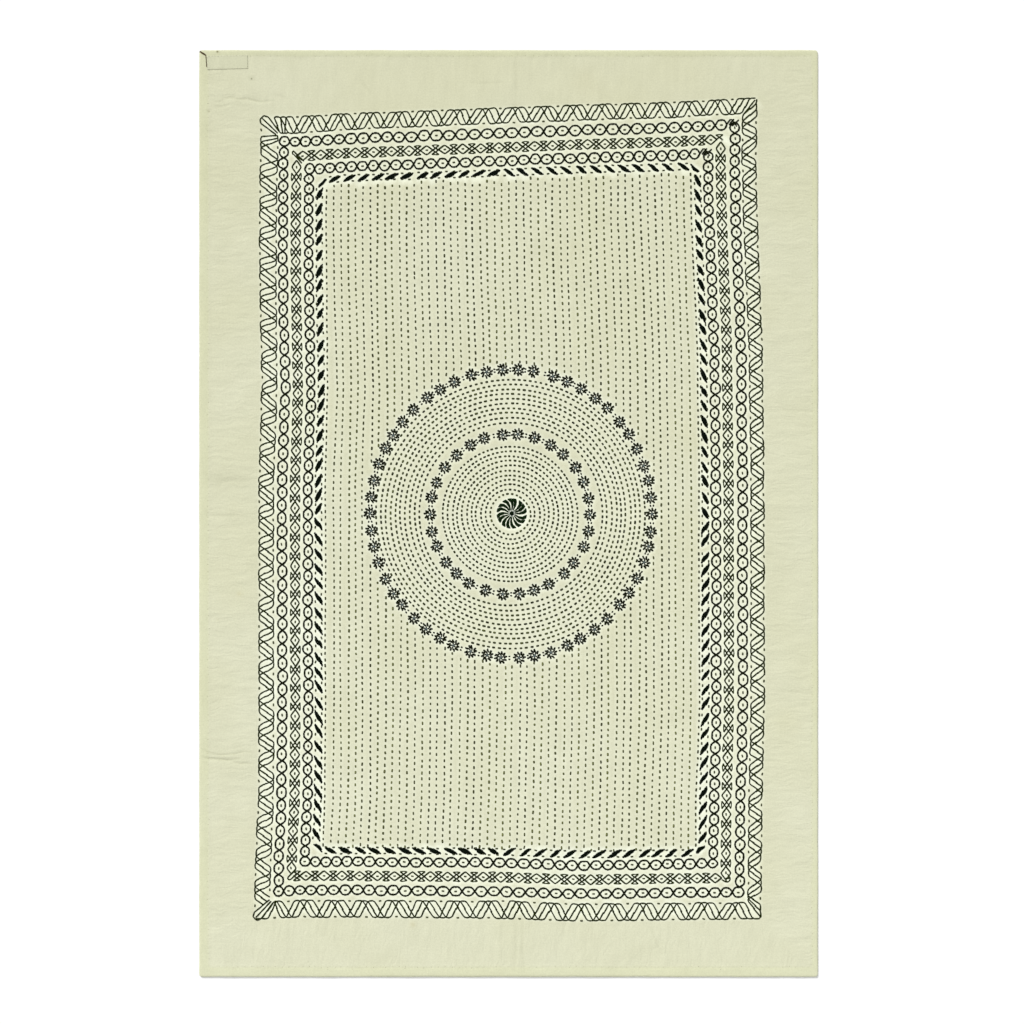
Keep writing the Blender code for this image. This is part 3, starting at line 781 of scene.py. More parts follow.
def dot(thread, side, along, inset):
    """A single small stitch that runs along the side."""
    middle = np.array((along, inset)) + jitter(0.0003)
    half = np.array((DOT_LENGTH / 2, rng.normal(0, 0.0003)))
    start = border_point(side, *(middle - half))
    end = border_point(side, *(middle + half))
    thread.stitch(start, end, DOT_THREAD)


def chain_band(band, pitches, reaches, thread, dots):
    """A chain of rounded links with a small stitch in each."""
    for side in SIDES:
        centre = band[side]
        for middle, step in repeats(band, side, pitches[side], CHAIN_LAPS[side], LINK_CROWDING):
            half_width = reaches[side] * rng.uniform(*LINK_WIDTHS)
            flat = step * LINK_FLAT * rng.uniform(*LINK_FLATS)
            sway = rng.normal(0, 0.0004)
            for across in (-1, 1):
                edge = centre + across * half_width + sway
                half_link = [
                    (middle - step / 2, centre),
                    (middle - flat + rng.normal(0, 0.0003), edge),
                    (middle + flat + rng.normal(0, 0.0003), edge),
                    (middle + step / 2, centre),
                ]
                points = [border_point(side, *point) for point in rounded(half_link, CHAIN_TURN)]
                thread.run(points, CHAIN_THREAD, length=CHAIN_STITCH)
            meeting = middle - step / 2
            join = [border_point(side, meeting + ahead, centre) for ahead in (-CHAIN_JOIN, CHAIN_JOIN)]
            thread.stitch(*join, CHAIN_THREAD * 1.4, lift=1.3)
            dot(dots, side, middle, centre + sway)


def lozenge_band(thread, dots):
    """Lozenges joined by small lattices of three squares, set corner to corner across the band."""
    for side in SIDES:
        centre = LOZENGES[side]

        def place(along, across):
            along = along + rng.normal(0, 0.0002)
            return border_point(side, along, centre + across + rng.normal(0, 0.0002))

        places = spaced(LOZENGE_FIRST[side], LOZENGE_LAST[side], LOZENGE_COUNT[side])
        for index, (middle, step) in enumerate(places):
            half = step * LOZENGE_SHARE / 2
            wide = LOZENGE_HALF_WIDTH * rng.uniform(*LOZENGE_WIDTHS)
            first, last = place(middle - half, 0), place(middle + half, 0)
            for across in (-wide, wide):
                tip = [place(middle + ahead, across) for ahead in (-LOZENGE_BLUNTING, LOZENGE_BLUNTING)]
                thread.run([first, *tip, last], LOZENGE_THREAD, length=LOZENGE_STITCH, shade=1.1)
            dot(dots, side, middle, centre)
            # The bottom row starts with a lattice too, and the top row ends with half of one.
            if index == 0 and side == "bottom":
                lattice(thread, place, middle - step / 2, step / 2 - half)
            if index < len(places) - 1:
                lattice(thread, place, middle + step / 2, step / 2 - half)
            elif side == "top":
                lattice(thread, place, middle + step / 2, step / 2 - half, halves=(-1,))


def lattice(thread, place, along, room, halves=(-1, 1)):
    """One lattice; `room` is how far it reaches either way along the band."""
    for end in (place(along - room, 0), place(along + room, 0)):
        thread.stitch(end - jitter(0.0002), end + jitter(0.0006), LOZENGE_THREAD * 1.7, lift=1.2, shade=0.6)
    for across in halves:
        crossing = place(along, across * LATTICE_CROSSING)
        low = place(along - room * LATTICE_SPREAD, across * LATTICE_SIDE)
        high = place(along + room * LATTICE_SPREAD, across * LATTICE_SIDE)
        tip = place(along, across * LATTICE_TIP)
        for foot, side_corner in ((-room, high), (room, low)):
            thread.run([place(along + foot, 0), crossing, side_corner], LOZENGE_THREAD * 0.9,
                       length=LATTICE_STITCH, shade=0.9)
        thread.run([high, tip, low], LOZENGE_THREAD * 0.75, length=LATTICE_STITCH, shade=1.4)


def satin_band(thread, dots):
    """Slanted bars of a few long stitches side by side, with small stitches between them."""
    for side in SIDES:
        for middle, step in repeats(SATIN_BARS, side, SATIN_PITCH[side], SATIN_LAPS):
            # The bars lean towards the middle of their side, and turn over there.
            lean = -SATIN_LEAN if middle < SIDE_LENGTH[side] / 2 else SATIN_LEAN
            middle += rng.normal(0, 0.0010)
            half_length = SATIN_HALF_LENGTH * rng.uniform(*SATIN_LENGTHS)
            satin_bar(thread, side, middle, half_length, lean)
            # A line of small stitches runs along each side, and the bars cover some of them.
            for share in SATIN_DOTS_ALONG:
                for across in SATIN_DOTS_ASIDE:
                    dot(dots, side, middle + step * share, SATIN_BARS[side] + across)


def satin_bar(thread, side, middle, half_length, lean):
    """One leaf-like bar: two long stitches, and shorter ones that widen its middle."""
    for first, last, aside in SATIN_STRANDS:
        ends = []
        for share in (first + rng.normal(0, 0.05), last + rng.normal(0, 0.05)):
            inset = SATIN_BARS[side] + share * lean + aside
            ends.append(border_point(side, middle + share * half_length, inset))
        thread.stitch(*ends, SATIN_THREAD, bend=rng.normal(0, 0.0004), lift=1.4)


def field_rows(thread):
    """Rows of running stitch from one end of the field to the other; the places of all their stitches."""
    top_start, top_end = band_reach(FIELD_EDGE, "top")
    bottom_start, bottom_end = band_reach(FIELD_EDGE, "bottom")
    row_points = []
    for row in range(ROW_COUNT):
        share = row / (ROW_COUNT - 1)
        top_along = top_start + share * (top_end - top_start)
        bottom_along = bottom_start + share * (bottom_end - bottom_start)
        top = border_point("top", top_along, FIELD_EDGE["top"])[1]
        bottom = border_point("bottom", bottom_along, FIELD_EDGE["bottom"])[1]
        count = round((top - bottom) / ROW_PITCH)
        is_end_row = row in (0, ROW_COUNT - 1)
        paleness = END_ROW_PALENESS if is_end_row else rng.uniform(*ROW_PALENESS)
        width = RUNNING_THREAD * rng.uniform(*ROW_GIRTHS)
        drift = np.cumsum(rng.normal(0, ROW_DRIFT, count))
        drift -= np.linspace(drift[0], drift[-1], count)
        slip = rng.uniform(0, ROW_PITCH)
        centres = []
        for index in range(count):
            y = top - slip - index * (top - bottom - ROW_PITCH) / (count - 1)
            along = LENGTH / 2 - y
            left = -WIDTH / 2 + border_margin("left", along) + FIELD_EDGE["left"]
            right = WIDTH / 2 - border_margin("right", along) - FIELD_EDGE["right"]
            x = left + share * (right - left) + drift[index] * 0.8
            centre = np.array((x, y + rng.normal(0, 0.0004)))
            centres.append(centre)
            if medallion_holds(centre):
                continue
            half = np.array((rng.normal(0, 0.00028), ROW_STITCH / 2 * rng.uniform(*ROW_STITCHES)))
            shade = paleness * (1 + ROW_FADING * index / count)
            thread.stitch(centre - half, centre + half, width, shade=shade)
        row_points.append(np.array(centres))
    return row_points


def rings(thread):
    """The medallion's rings of running stitch."""
    for number, ring_set in enumerate(RING_SETS):
        centre = INNER_CENTRE if number == 0 else (MEDALLION_CENTRE + INNER_CENTRE) / 2
        for radius in np.linspace(ring_set.inner_radius, ring_set.outer_radius, ring_set.count):
            count = round(2 * math.pi * radius / ring_set.pitch)
            first_angle = rng.uniform(0, 2 * math.pi)
            waves = rng.uniform(0, 2 * math.pi, 3)
            paleness = rng.uniform(*RING_PALENESS)
            for index in range(count):
                angle = first_angle + 2 * math.pi * (index + rng.normal(0, 0.05)) / count
                wave = sum(math.sin((k + 2) * angle + waves[k]) for k in range(3))
                reach = radius + RING_WAVE * wave
                half = ring_set.stitch / 2 * rng.uniform(*RING_STITCHES) / reach
                start, end = (centre + reach * heading(angle + turn) for turn in (-half, half))
                thread.stitch(start, end, RING_THREAD, shade=paleness * rng.uniform(*RING_SHADES))


def rosette(thread, core, centre, turn):
    """A pinwheel: curled arms around a ring of shorter ones and a small core."""
    shade = rng.uniform(*ROSETTE_SHADES)
    for number in range(ROSETTE_ARMS):
        angle = turn + 2 * math.pi * number / ROSETTE_ARMS + rng.normal(0, 0.06)
        radius = ROSETTE_RADIUS * rng.uniform(0.94, 1.04)
        # Every other arm has a short one at its foot.
        for arm in (LONG_ARM, SHORT_ARM)[:2 - number % 2]:
            start = centre + radius * arm.foot * heading(angle + arm.foot_turn)
            end = centre + radius * arm.tip * heading(angle + arm.tip_turn)
            thread.stitch(start, end, ROSETTE_THREAD * arm.width, arm.bend, arm.lift, shade)
    for spoke in range(5):
        reach = CORE_RADIUS * heading(turn + 0.3 + math.pi * spoke / 5)
        core.stitch(centre + reach, centre - reach, CORE_THREAD)


def rosette_rings(thread, core):
    """Both rings of rosettes, with small stitches from each rosette to the next."""
    for number, ring in enumerate(ROSETTE_RINGS):
        middle = INNER_CENTRE if number == 0 else MEDALLION_CENTRE

        def place(angle, outward=0.0):
            return middle + np.array(((ring.radius_x + outward) * math.cos(angle),
                                      (ring.radius_y + outward) * math.sin(angle)))

        for index in range(ring.count):
            angle = 2 * math.pi * (index + rng.normal(0, 0.05)) / ring.count
            rosette(thread, core, place(angle) + jitter(0.0004), rng.uniform(0, 1))
            half_step = math.pi / ring.count
            for outward in (-0.0017, 0.0019):
                start = place(angle + half_step * 0.84, outward)
                end = place(angle + half_step * 1.18, outward * 1.4)
                thread.stitch(start, end, ROSETTE_THREAD * 0.8)


def wheel(thread, knot):
    """The wheel in the medallion's middle: curled petals of satin stitch round a knot."""
    for petal in range(WHEEL_PETALS):
        turn = 2 * math.pi * petal / WHEEL_PETALS + rng.normal(0, 0.012)
        dip, swirl = rng.uniform(*PETAL_DIPS), rng.uniform(*PETAL_SWIRLS)
        for strand in PETAL_STRANDS:
            path = []
            for share in PETAL_PLACES:
                radius = WHEEL_HUB_RADIUS + share * (WHEEL_RADIUS - WHEEL_HUB_RADIUS)
                spread = strand * (PETAL_FOOT + PETAL_FLARE * share) / radius
                angle = turn + swirl * share - dip * math.sin(math.pi * share) + spread
                path.append(WHEEL_CENTRE + radius * heading(angle))
            for near, far, width in zip(path, path[1:], WHEEL_THREADS):
                thread.run([near, far], width, length=0.0070, lift=1.5)
        angle = turn + rng.normal(0, 0.05)
        start, end = (WHEEL_CENTRE + radius * heading(angle) for radius in KNOT_RADII)
        knot.stitch(start, end, KNOT_THREAD, lift=1.6)
    for spoke in range(5):
        reach = HUB_STITCH / 2 * heading(math.pi * spoke / 5)
        thread.stitch(WHEEL_CENTRE - reach, WHEEL_CENTRE + reach, HUB_THREAD, lift=1.8, shade=0.5)


def hem_stitches(thread, specks):
    """Small stitches that hold the hem down, and a few dark specks between them."""
    for side in SIDES:
        along = HEM_ENDS
        while along < SIDE_LENGTH[side] - HEM_ENDS:
            along += rng.uniform(*HEM_SPACING)
            depth = HEM_WIDTH[side] + rng.normal(0, 0.0005) + HEM_WAVE * math.sin(along * 90)
            start = side_point(side, along, depth - 0.0008)
            end = side_point(side, along + rng.normal(0, 0.0005), depth + 0.0010)
            thread.stitch(start, end, HEM_THREAD, lift=0.8)
            if rng.random() < SPECK_CHANCE:
                spot = side_point(side, along, depth + rng.uniform(-0.003, 0.001))
                specks.stitch(spot, spot + jitter(0.0006), SPECK_THREAD)


def label_point(along, across):
    """A point of the label: `along` its length from its left end, `across` up from its lower edge."""
    ahead = heading(math.radians(LABEL_TURN))
    middle = LABEL_CENTRE + ahead * (along - LABEL_SIZE[0] / 2)
    return middle + turned(ahead) * (across - LABEL_SIZE[1] / 2)


def label_stitches(thread):
    """The small stitches round the edge of the label."""
    near, (far, high) = LABEL_SEAM, np.array(LABEL_SIZE) - LABEL_SEAM
    corners = [label_point(*place) for place in ((near, near), (far, near), (far, high), (near, high))]
    for start, end in zip(corners, corners[1:] + corners[:1]):
        reach = np.linalg.norm(end - start)
        count = round(reach / LABEL_STITCH_PITCH)
        for index in range(count):
            middle = start + (end - start) * (index + 0.5) / count
            half = (end - start) / reach * LABEL_STITCH / 2
            thread.stitch(middle - half, middle + half + jitter(0.0001), LABEL_THREAD)


def corner_threads(thread):
    """The dark thread left in the corner beside the label."""
    corner = np.array((-WIDTH / 2, LENGTH / 2))
    for _ in range(4):
        strand = [corner + np.array(offset) + jitter(0.0005) for offset in CORNER_KNOT]
        thread.run(strand, 0.0014, length=0.0060, lift=1.2)
    tail = [corner + np.array(offset) for offset in CORNER_TAIL]
    thread.run(tail, 0.0013, length=0.0060, lift=1.3)


def pencil_marks(thread):
    """Pencil lines, as very fine threads sunk into the cloth."""
    for line in PENCIL_LINES:
        thread.run([(line.x0, line.y0), (line.x1, line.y1)], 0.0007, length=0.0060, lift=0.1)


# ---- the cloth's height ----

COLUMNS = round(WIDTH / CELL) + 21
ROWS = round(LENGTH / CELL) + 21
GRID_X = (np.arange(COLUMNS) - (COLUMNS - 1) / 2) * CELL
GRID_Y = (np.arange(ROWS) - (ROWS - 1) / 2) * CELL


def blurred(field, sigma_x, sigma_y=None):
    """A grid blurred by a Gaussian of that many metres."""
    sigma_y = sigma_y or sigma_x
    wave_x = np.fft.rfftfreq(COLUMNS, CELL)[None, :]
    wave_y = np.fft.fftfreq(ROWS, CELL)[:, None]
    falloff = np.exp(-2 * (math.pi ** 2) * ((wave_x * sigma_x) ** 2 + (wave_y * sigma_y) ** 2))
    return np.fft.irfft2(np.fft.rfft2(field) * falloff, s=field.shape)


def noise(sigma_x, sigma_y=None):
    """Smooth noise of unit spread with bumps of about that size."""
    rough = blurred(rng.normal(size=(ROWS, COLUMNS)), sigma_x, sigma_y)
    return rough / rough.std()


def smooth_step(value):
    """0 below 0 and 1 above 1, with a smooth rise between them."""
    share = np.clip(value, 0, 1)
    return share * share * (3 - 2 * share)


def inset_from(depths):
    """How far every cell is inside lines `depths(side, along)` in from the edges: sideways, endways."""
    down, across = LENGTH / 2 - GRID_Y, GRID_X + WIDTH / 2
    sideways = np.minimum(across[None, :] - depths("left", down)[:, None],
                          (WIDTH - across)[None, :] - depths("right", down)[:, None])
    endways = np.minimum(down[:, None] - depths("top", across)[None, :],
                         (LENGTH - down)[:, None] - depths("bottom", across)[None, :])
    return sideways, endways


def stitch_density(threads):
    """Metres of stitch in each cell."""
    density = np.zeros(ROWS * COLUMNS)
    for thread in threads:
        stitches = np.array([stitch[:4] for stitch in thread.stitches])
        starts, ends = stitches[:, :2], stitches[:, 2:]
        reach = np.linalg.norm(ends - starts, axis=1)
        for share in np.linspace(0.05, 0.95, 10):
            places = starts + (ends - starts) * share
            column = np.round((places[:, 0] - GRID_X[0]) / CELL).astype(int)
            row = np.round((places[:, 1] - GRID_Y[0]) / CELL).astype(int)
            density += np.bincount(row * COLUMNS + column, reach / 10, ROWS * COLUMNS)
    return density.reshape(ROWS, COLUMNS)


def add_crease(height, shadow, crease):
    """A ridge, or a trough, that follows the crease's points and fades at its ends; a trough also adds
    painted shade to `shadow`.
    """
    points = np.array(crease.points)
    reaches = np.linalg.norm(np.diff(points, axis=0), axis=1)
    room, origin = 4 * crease.half_width, (GRID_X[0], GRID_Y[0])
    low = np.maximum(0, ((points.min(0) - room - origin) / CELL).astype(int))
    high = ((points.max(0) + room - origin) / CELL).astype(int) + 1
    window = (slice(low[1], high[1]), slice(low[0], high[0]))
    x, y = np.meshgrid(GRID_X[window[1]], GRID_Y[window[0]])
    near, near_share = np.full(x.shape, np.inf), np.zeros(x.shape)
    done = 0.0
    for start, end, reach in zip(points, points[1:], reaches):
        ahead = (end - start) / reach
        along = np.clip((x - start[0]) * ahead[0] + (y - start[1]) * ahead[1], 0, reach)
        away = np.hypot(x - start[0] - along * ahead[0], y - start[1] - along * ahead[1])
        closer = away < near
        near[closer] = away[closer]
        near_share[closer] = ((done + along) / reaches.sum())[closer]
        done += reach
    fade = np.sin(math.pi * np.clip(near_share, 0, 1)) ** 0.6
    depth = fade * np.exp(-(near / crease.half_width) ** 2)
    height[window] += crease.height * depth
    # Painted shade: a trough darkens the cloth's colour along it.
    if crease.height < 0:
        shadow[window] = np.maximum(shadow[window], depth * min(1.0, -crease.height / DARK_CREASE))


# The cloth's height, and masks: the margins beside the long sides, all the margins, the hem, the cloth
# that is quilted closely, which gets a painted highlight, and the painted shade in the creases' troughs.
Relief = namedtuple("Relief", "height beside margin hem quilted creased")


def cloth_relief(threads):
    """The height of the quilt's top face over the whole grid, with its masks."""
    sideways, endways = inset_from(border_margin)
    in_border = smooth_step(np.minimum(sideways, endways) / BORDER_RISE + 0.5)
    hem_side, hem_end = inset_from(lambda side, along: np.full(along.shape, HEM_WIDTH[side]))
    hem = smooth_step(0.5 - (np.minimum(hem_side, hem_end) + HEM_UNEVENNESS * noise(0.004)) / HEM_RISE)
    in_margin = (1 - in_border) * (1 - hem)
    on_hem = hem * (1 - in_border)

    density = stitch_density(threads) / CELL
    broad = 1 - np.exp(-blurred(density, BROAD_REACH) / BROAD_DENSITY)
    local = 1 - np.exp(-blurred(density, LOCAL_REACH) / LOCAL_DENSITY)

    height = MARGIN_HEIGHT + (PUFF_HEIGHT + BROAD_PULL * 0.5 - MARGIN_HEIGHT) * in_border
    height = height - BROAD_PULL * broad - LOCAL_PULL * local
    height += (HEM_HEIGHT - MARGIN_HEIGHT) * on_hem

    # The margins ripple square to their edge; the quilted cloth is only a little uneven.
    beside = smooth_step((endways - sideways) / 0.03 + 0.5)
    ripples = noise(*RIPPLE_SIZE) * beside + noise(*reversed(RIPPLE_SIZE)) * (1 - beside)
    height += RIPPLE_HEIGHT * ripples * in_margin
    height += BROAD_WAVES * noise(0.018) + FINE_WAVES * noise(0.006)
    shadow = np.zeros(height.shape)
    for crease in CREASES:
        add_crease(height, shadow, crease)
    return Relief(height, beside, in_margin, on_hem, broad * in_border, shadow)


def sampled(grid, points):
    """A grid's values at points, linear between its cells."""
    column = np.clip((points[:, 0] - GRID_X[0]) / CELL, 0, COLUMNS - 1.001)
    row = np.clip((points[:, 1] - GRID_Y[0]) / CELL, 0, ROWS - 1.001)
    left, low = column.astype(int), row.astype(int)
    x, y = column - left, row - low
    lower = grid[low, left] * (1 - x) + grid[low, left + 1] * x
    upper = grid[low + 1, left] * (1 - x) + grid[low + 1, left + 1] * x
    return lower * (1 - y) + upper * y


# ---- the cloth's mesh ----

def paint(mesh, name, colours):
    """Store a colour at each of a mesh's points, for its material to read."""
    attribute = mesh.attributes.new(name, "FLOAT_COLOR", "POINT")
    attribute.data.foreach_set("color", np.column_stack((colours, np.ones(len(colours)))).ravel())


def placed(name, data):
    """A new object in the scene."""
    thing = bpy.data.objects.new(name, data)
    bpy.context.collection.objects.link(thing)
    return thing


def outline(inset):
    """The quilt's outline with rounded corners, drawn in by `inset`."""
    radius = max(CORNER_RADIUS - inset, LEAST_CORNER_RADIUS)
    right, top = WIDTH / 2 - inset, LENGTH / 2 - inset
    points = []
    corners = ((right, top), (-right, top), (-right, -top), (right, -top))
    for turn, (x, y) in enumerate(corners):
        centre = np.array((x - math.copysign(radius, x), y - math.copysign(radius, y)))
        for share in np.linspace(0, 1, 4):
            angle = (turn + share) * math.pi / 2
            points.append(centre + radius * heading(angle))
    result = []
    for start, end in zip(points, points[1:] + points[:1]):
        count = max(1, round(np.linalg.norm(end - start) / OUTLINE_STEP))
        result.extend(start + (end - start) * index / count for index in range(count))
    return np.array(result)


def wavering(points):
    """A hand-sewn edge is not ruled: the outline wavers inward by up to half a millimetre."""
    run = points[:, 0] + points[:, 1] * 0.7
    inward = EDGE_WAVER * (1 + np.sin(run * 61) * 0.6 + np.sin(run * 143 + points[:, 1] * 20) * 0.4)
    is_at_edge = np.abs(points) > np.array((WIDTH, LENGTH)) / 2 - 0.01
    return points - np.sign(points) * inward[:, None] * is_at_edge


def edge_height(depth, height):
    """The cloth's height near its edge, where the folded hem rounds down to the floor."""
    share = np.clip(1 - depth / EDGE_ROUNDING, 0, 1)
    return height - (height - EDGE_HEIGHT_AT_RIM) * (1 - np.sqrt(1 - share ** 2))


def band_points(side, first_depth, last_depth, rows, step):
    """Points in staggered rows between two lines that run along a side, mitred at both corners."""
    first_end, last_end = SIDE_ENDS[side]
    points = []
    for row in range(rows):
        share = (row + 0.5) / rows

        def depth_of(one_side, along):
            first, last = first_depth(one_side, along), last_depth(one_side, along)
            return first + share * (last - first)

        start = depth_of(first_end, NEAR_CORNER)
        end = SIDE_LENGTH[side] - depth_of(last_end, NEAR_CORNER)
        count = round((end - start) / step)
        along = start + (end - start) * (np.arange(count) + 0.5 * (row % 2)) / count
        along = along + rng.uniform(-POINT_SCATTER, POINT_SCATTER, count) * step
        points.append(side_point(side, along, depth_of(side, along)))
    return np.concatenate(points)


def hem_depth(side, along):
    """How far in the closer points along the hem reach."""
    return np.full(np.shape(along), HEM_WIDTH[side] + 0.0035)


def rim_depth(side, along):
    """How far in the outline's own loops of points reach."""
    return np.full(np.shape(along), 0.0045)


def field_depth(side, along):
    """Where the border's rows of points end and the field's begin."""
    return border_margin(side, along) + FIELD_EDGE[side] - 0.003


def inside_field_points(row_points):
    """Points on, between and beside the field's stitches, outside the medallion."""
    points = []
    for here, after in zip(row_points, row_points[1:] + [None]):
        gaps = (here[1:] + here[:-1]) / 2
        points.extend((here, gaps))
        if after is None:
            continue
        pitch = after[0, 0] - here[0, 0]
        for share in (1 / 3, 2 / 3):
            offset = np.array((pitch * share, 0.0))
            points.extend((here + offset, gaps + offset))
    points = np.concatenate(points)
    return points[~medallion_holds(points)]


def medallion_holds(points):
    """Whether a point, or each of many, is inside the medallion."""
    return np.hypot(*(np.asarray(points) - MEDALLION_CENTRE).T) < MEDALLION_RADIUS


def medallion_points():
    """Rings of points on and between the medallion's rings of stitching."""
    radii = []
    for ring_set in RING_SETS:
        valleys = np.linspace(ring_set.inner_radius, ring_set.outer_radius, ring_set.count)
        radii.extend(valleys)
        radii.extend((valleys[1:] + valleys[:-1]) / 2)
    radii.extend(WHEEL_POINT_RADII)
    radii.extend(np.linspace(RING_SETS[0].outer_radius, RING_SETS[1].inner_radius, 11)[1:-1])
    radii.extend(np.linspace(RING_SETS[1].outer_radius, MEDALLION_RADIUS, 8)[1:-1])
    points = []
    for number, radius in enumerate(sorted(radii)):
        count = max(8, round(2 * math.pi * radius / MEDALLION_STEP))
        angles = 2 * math.pi * (np.arange(count) + 0.5 * (number % 2)) / count
        share = smooth_step((radius - 0.1) / 0.1)
        centre = INNER_CENTRE + (MEDALLION_CENTRE - INNER_CENTRE) * share
        points.append(centre + radius * np.stack((np.cos(angles), np.sin(angles)), 1))
    return np.concatenate(points)


def crease_points():
    """Extra points along and beside each sharp crease."""
    points = []
    for crease in CREASES:
        if crease.half_width > SHARP_CREASE:
            continue
        for start, end in zip(np.array(crease.points), np.array(crease.points[1:])):
            reach = np.linalg.norm(end - start)
            ahead = (end - start) / reach
            aside = turned(ahead) * crease.half_width
            for across in CREASE_ROWS:
                first = 0.25 + 0.25 * (across == 0)
                shares = np.arange(first, reach / CREASE_STEP) * CREASE_STEP / reach
                points.append(start + np.outer(shares, end - start) + aside * across)
    return np.concatenate(points)


def mark_points():
    """Extra points where a small mark needs a clean edge."""
    points = []
    for mark in MARKS:
        for share in (0.0, 0.35, 0.8, 1.3):
            for angle in np.linspace(0, 2 * math.pi, 7)[:-1] + share:
                offset = mark.radius * share * heading(angle)
                points.append(np.array((mark.x, mark.y)) + offset)
    return np.array(points)


def cloth_points(row_points):
    """The plan of the cloth's top face; the first points are the outer edge, in order."""
    points = [wavering(outline(inset)) for inset in EDGE_INSETS]
    rim_count = len(points[0])
    for side in SIDES:
        points.append(band_points(side, rim_depth, hem_depth, 4, 0.0040))
        points.append(band_points(side, hem_depth, border_margin, 9, 0.0025))
        points.append(band_points(side, border_margin, field_depth, 28, 0.0033))
    points.extend((inside_field_points(row_points), medallion_points(), mark_points(), crease_points()))
    return np.concatenate(points), rim_count


def cloth_tone(points, relief):
    """The cloth's colour at each point: unevenly yellowed, soiled along the hem and marked; painted shade
    darkens its top end and crease troughs, and a painted highlight lightens the closely quilted cloth.
    """
    # Painted shade: the colour darkens from the bottom end to the top end.
    upward = (points[:, 1] + LENGTH / 2) / LENGTH
    tone = np.outer(1 - upward, CLOTH_LOWER) + np.outer(upward, CLOTH_UPPER)
    for share, tint in (
        (sampled(relief.hem, points), HEM_TINT),
        # painted highlight on the closely quilted cloth
        (sampled(relief.quilted, points) ** 2, QUILTED_HIGHLIGHT_TINT),
        # painted shade in the creases' troughs
        (sampled(relief.creased, points), CREASE_SHADE_TINT),
    ):
        tone *= 1 + share[:, None] * (np.array(tint) - 1)
    for size, strength in CLOTH_MOTTLES:
        tone *= 1 + sampled(noise(size), points)[:, None] * np.array(strength)
    for mark in MARKS:
        away = np.hypot(points[:, 0] - mark.x, points[:, 1] - mark.y) / mark.radius
        strength = np.exp(-away ** 2)[:, None]
        tone *= 1 + strength * (np.array((mark.red, mark.green, mark.blue)) - 1)
    return tone


def triangulated(points, rim_count):
    """A plan whose first points are its rim, in order: its places, its triangles and their sources."""
    rim = list(range(rim_count))
    edges = list(zip(rim, rim[1:] + rim[:1]))
    plan = [Vector(point) for point in points]
    places, _, triangles, sources, _, _ = delaunay_2d_cdt(plan, edges, [rim], 1, 1e-6)
    places = np.array([tuple(place) for place in places])
    return places, triangles, [source[0] if source else -1 for source in sources]


def cloth_mesh(relief, row_points):
    """The quilt's cloth as one closed mesh, with its colour and its ripples stored on it."""
    points, rim_count = cloth_points(row_points)
    plan, faces, sources = triangulated(points, rim_count)
    place_of = {source: index for index, source in enumerate(sources)}
    rim = [place_of[index] for index in range(rim_count)]
    depth = np.minimum(WIDTH / 2 - np.abs(plan[:, 0]), LENGTH / 2 - np.abs(plan[:, 1]))
    top = edge_height(depth, sampled(relief.height, plan))
    top[rim] = EDGE_HEIGHT_AT_RIM
    vertices = np.column_stack((plan, top))

    # Below the rim: a wall in two steps that tucks under, and the flat underside.
    loops = [rim]
    for inset, z in WALL_STEPS:
        first = len(vertices)
        loop = plan[rim] - np.sign(plan[rim]) * inset
        vertices = np.concatenate((vertices, np.column_stack((loop, np.full(rim_count, z)))))
        loops.append(list(range(first, first + rim_count)))
    for upper, lower in zip(loops, loops[1:]):
        for index in range(rim_count):
            after = (index + 1) % rim_count
            faces.append((upper[index], lower[index], lower[after], upper[after]))
    _, underside, sources = triangulated(vertices[-rim_count:, :2], rim_count)
    for triangle in underside:
        faces.append([loops[-1][sources[index]] for index in reversed(triangle)])

    mesh = bpy.data.meshes.new("quilted_cloth")
    mesh.from_pydata(vertices.tolist(), [], faces)
    mesh.shade_smooth()
    plan = vertices[:, :2]
    paint(mesh, "tone", cloth_tone(plan, relief))
    beside_sides = sampled(relief.beside * relief.margin, plan)
    beside_ends = sampled((1 - relief.beside) * relief.margin, plan)
    beside_ends[plan[:, 1] > 0] *= TOP_RIPPLES
    paint(mesh, "grain", np.column_stack((beside_sides, beside_ends, np.zeros(len(plan)))))
    mesh.update()
    return mesh


# ---- threads ----

def stitch_faces(count):
    """The triangles of `count` stitches, whose points are two tips and three rings each."""
    faces = []
    for side in range(THREAD_SIDES):
        after = (side + 1) % THREAD_SIDES
        first, last = 2, 2 + 2 * THREAD_SIDES
        faces.append((0, first + after, first + side))
        faces.append((1, last + side, last + after))
        for low in (first, first + THREAD_SIDES):
            high = low + THREAD_SIDES
            faces.append((low + side, low + after, high + after))
            faces.append((low + side, high + after, high + side))
    offsets = (2 + 3 * THREAD_SIDES) * np.arange(count)
    return (np.array(faces)[None] + offsets[:, None, None]).reshape(-1)


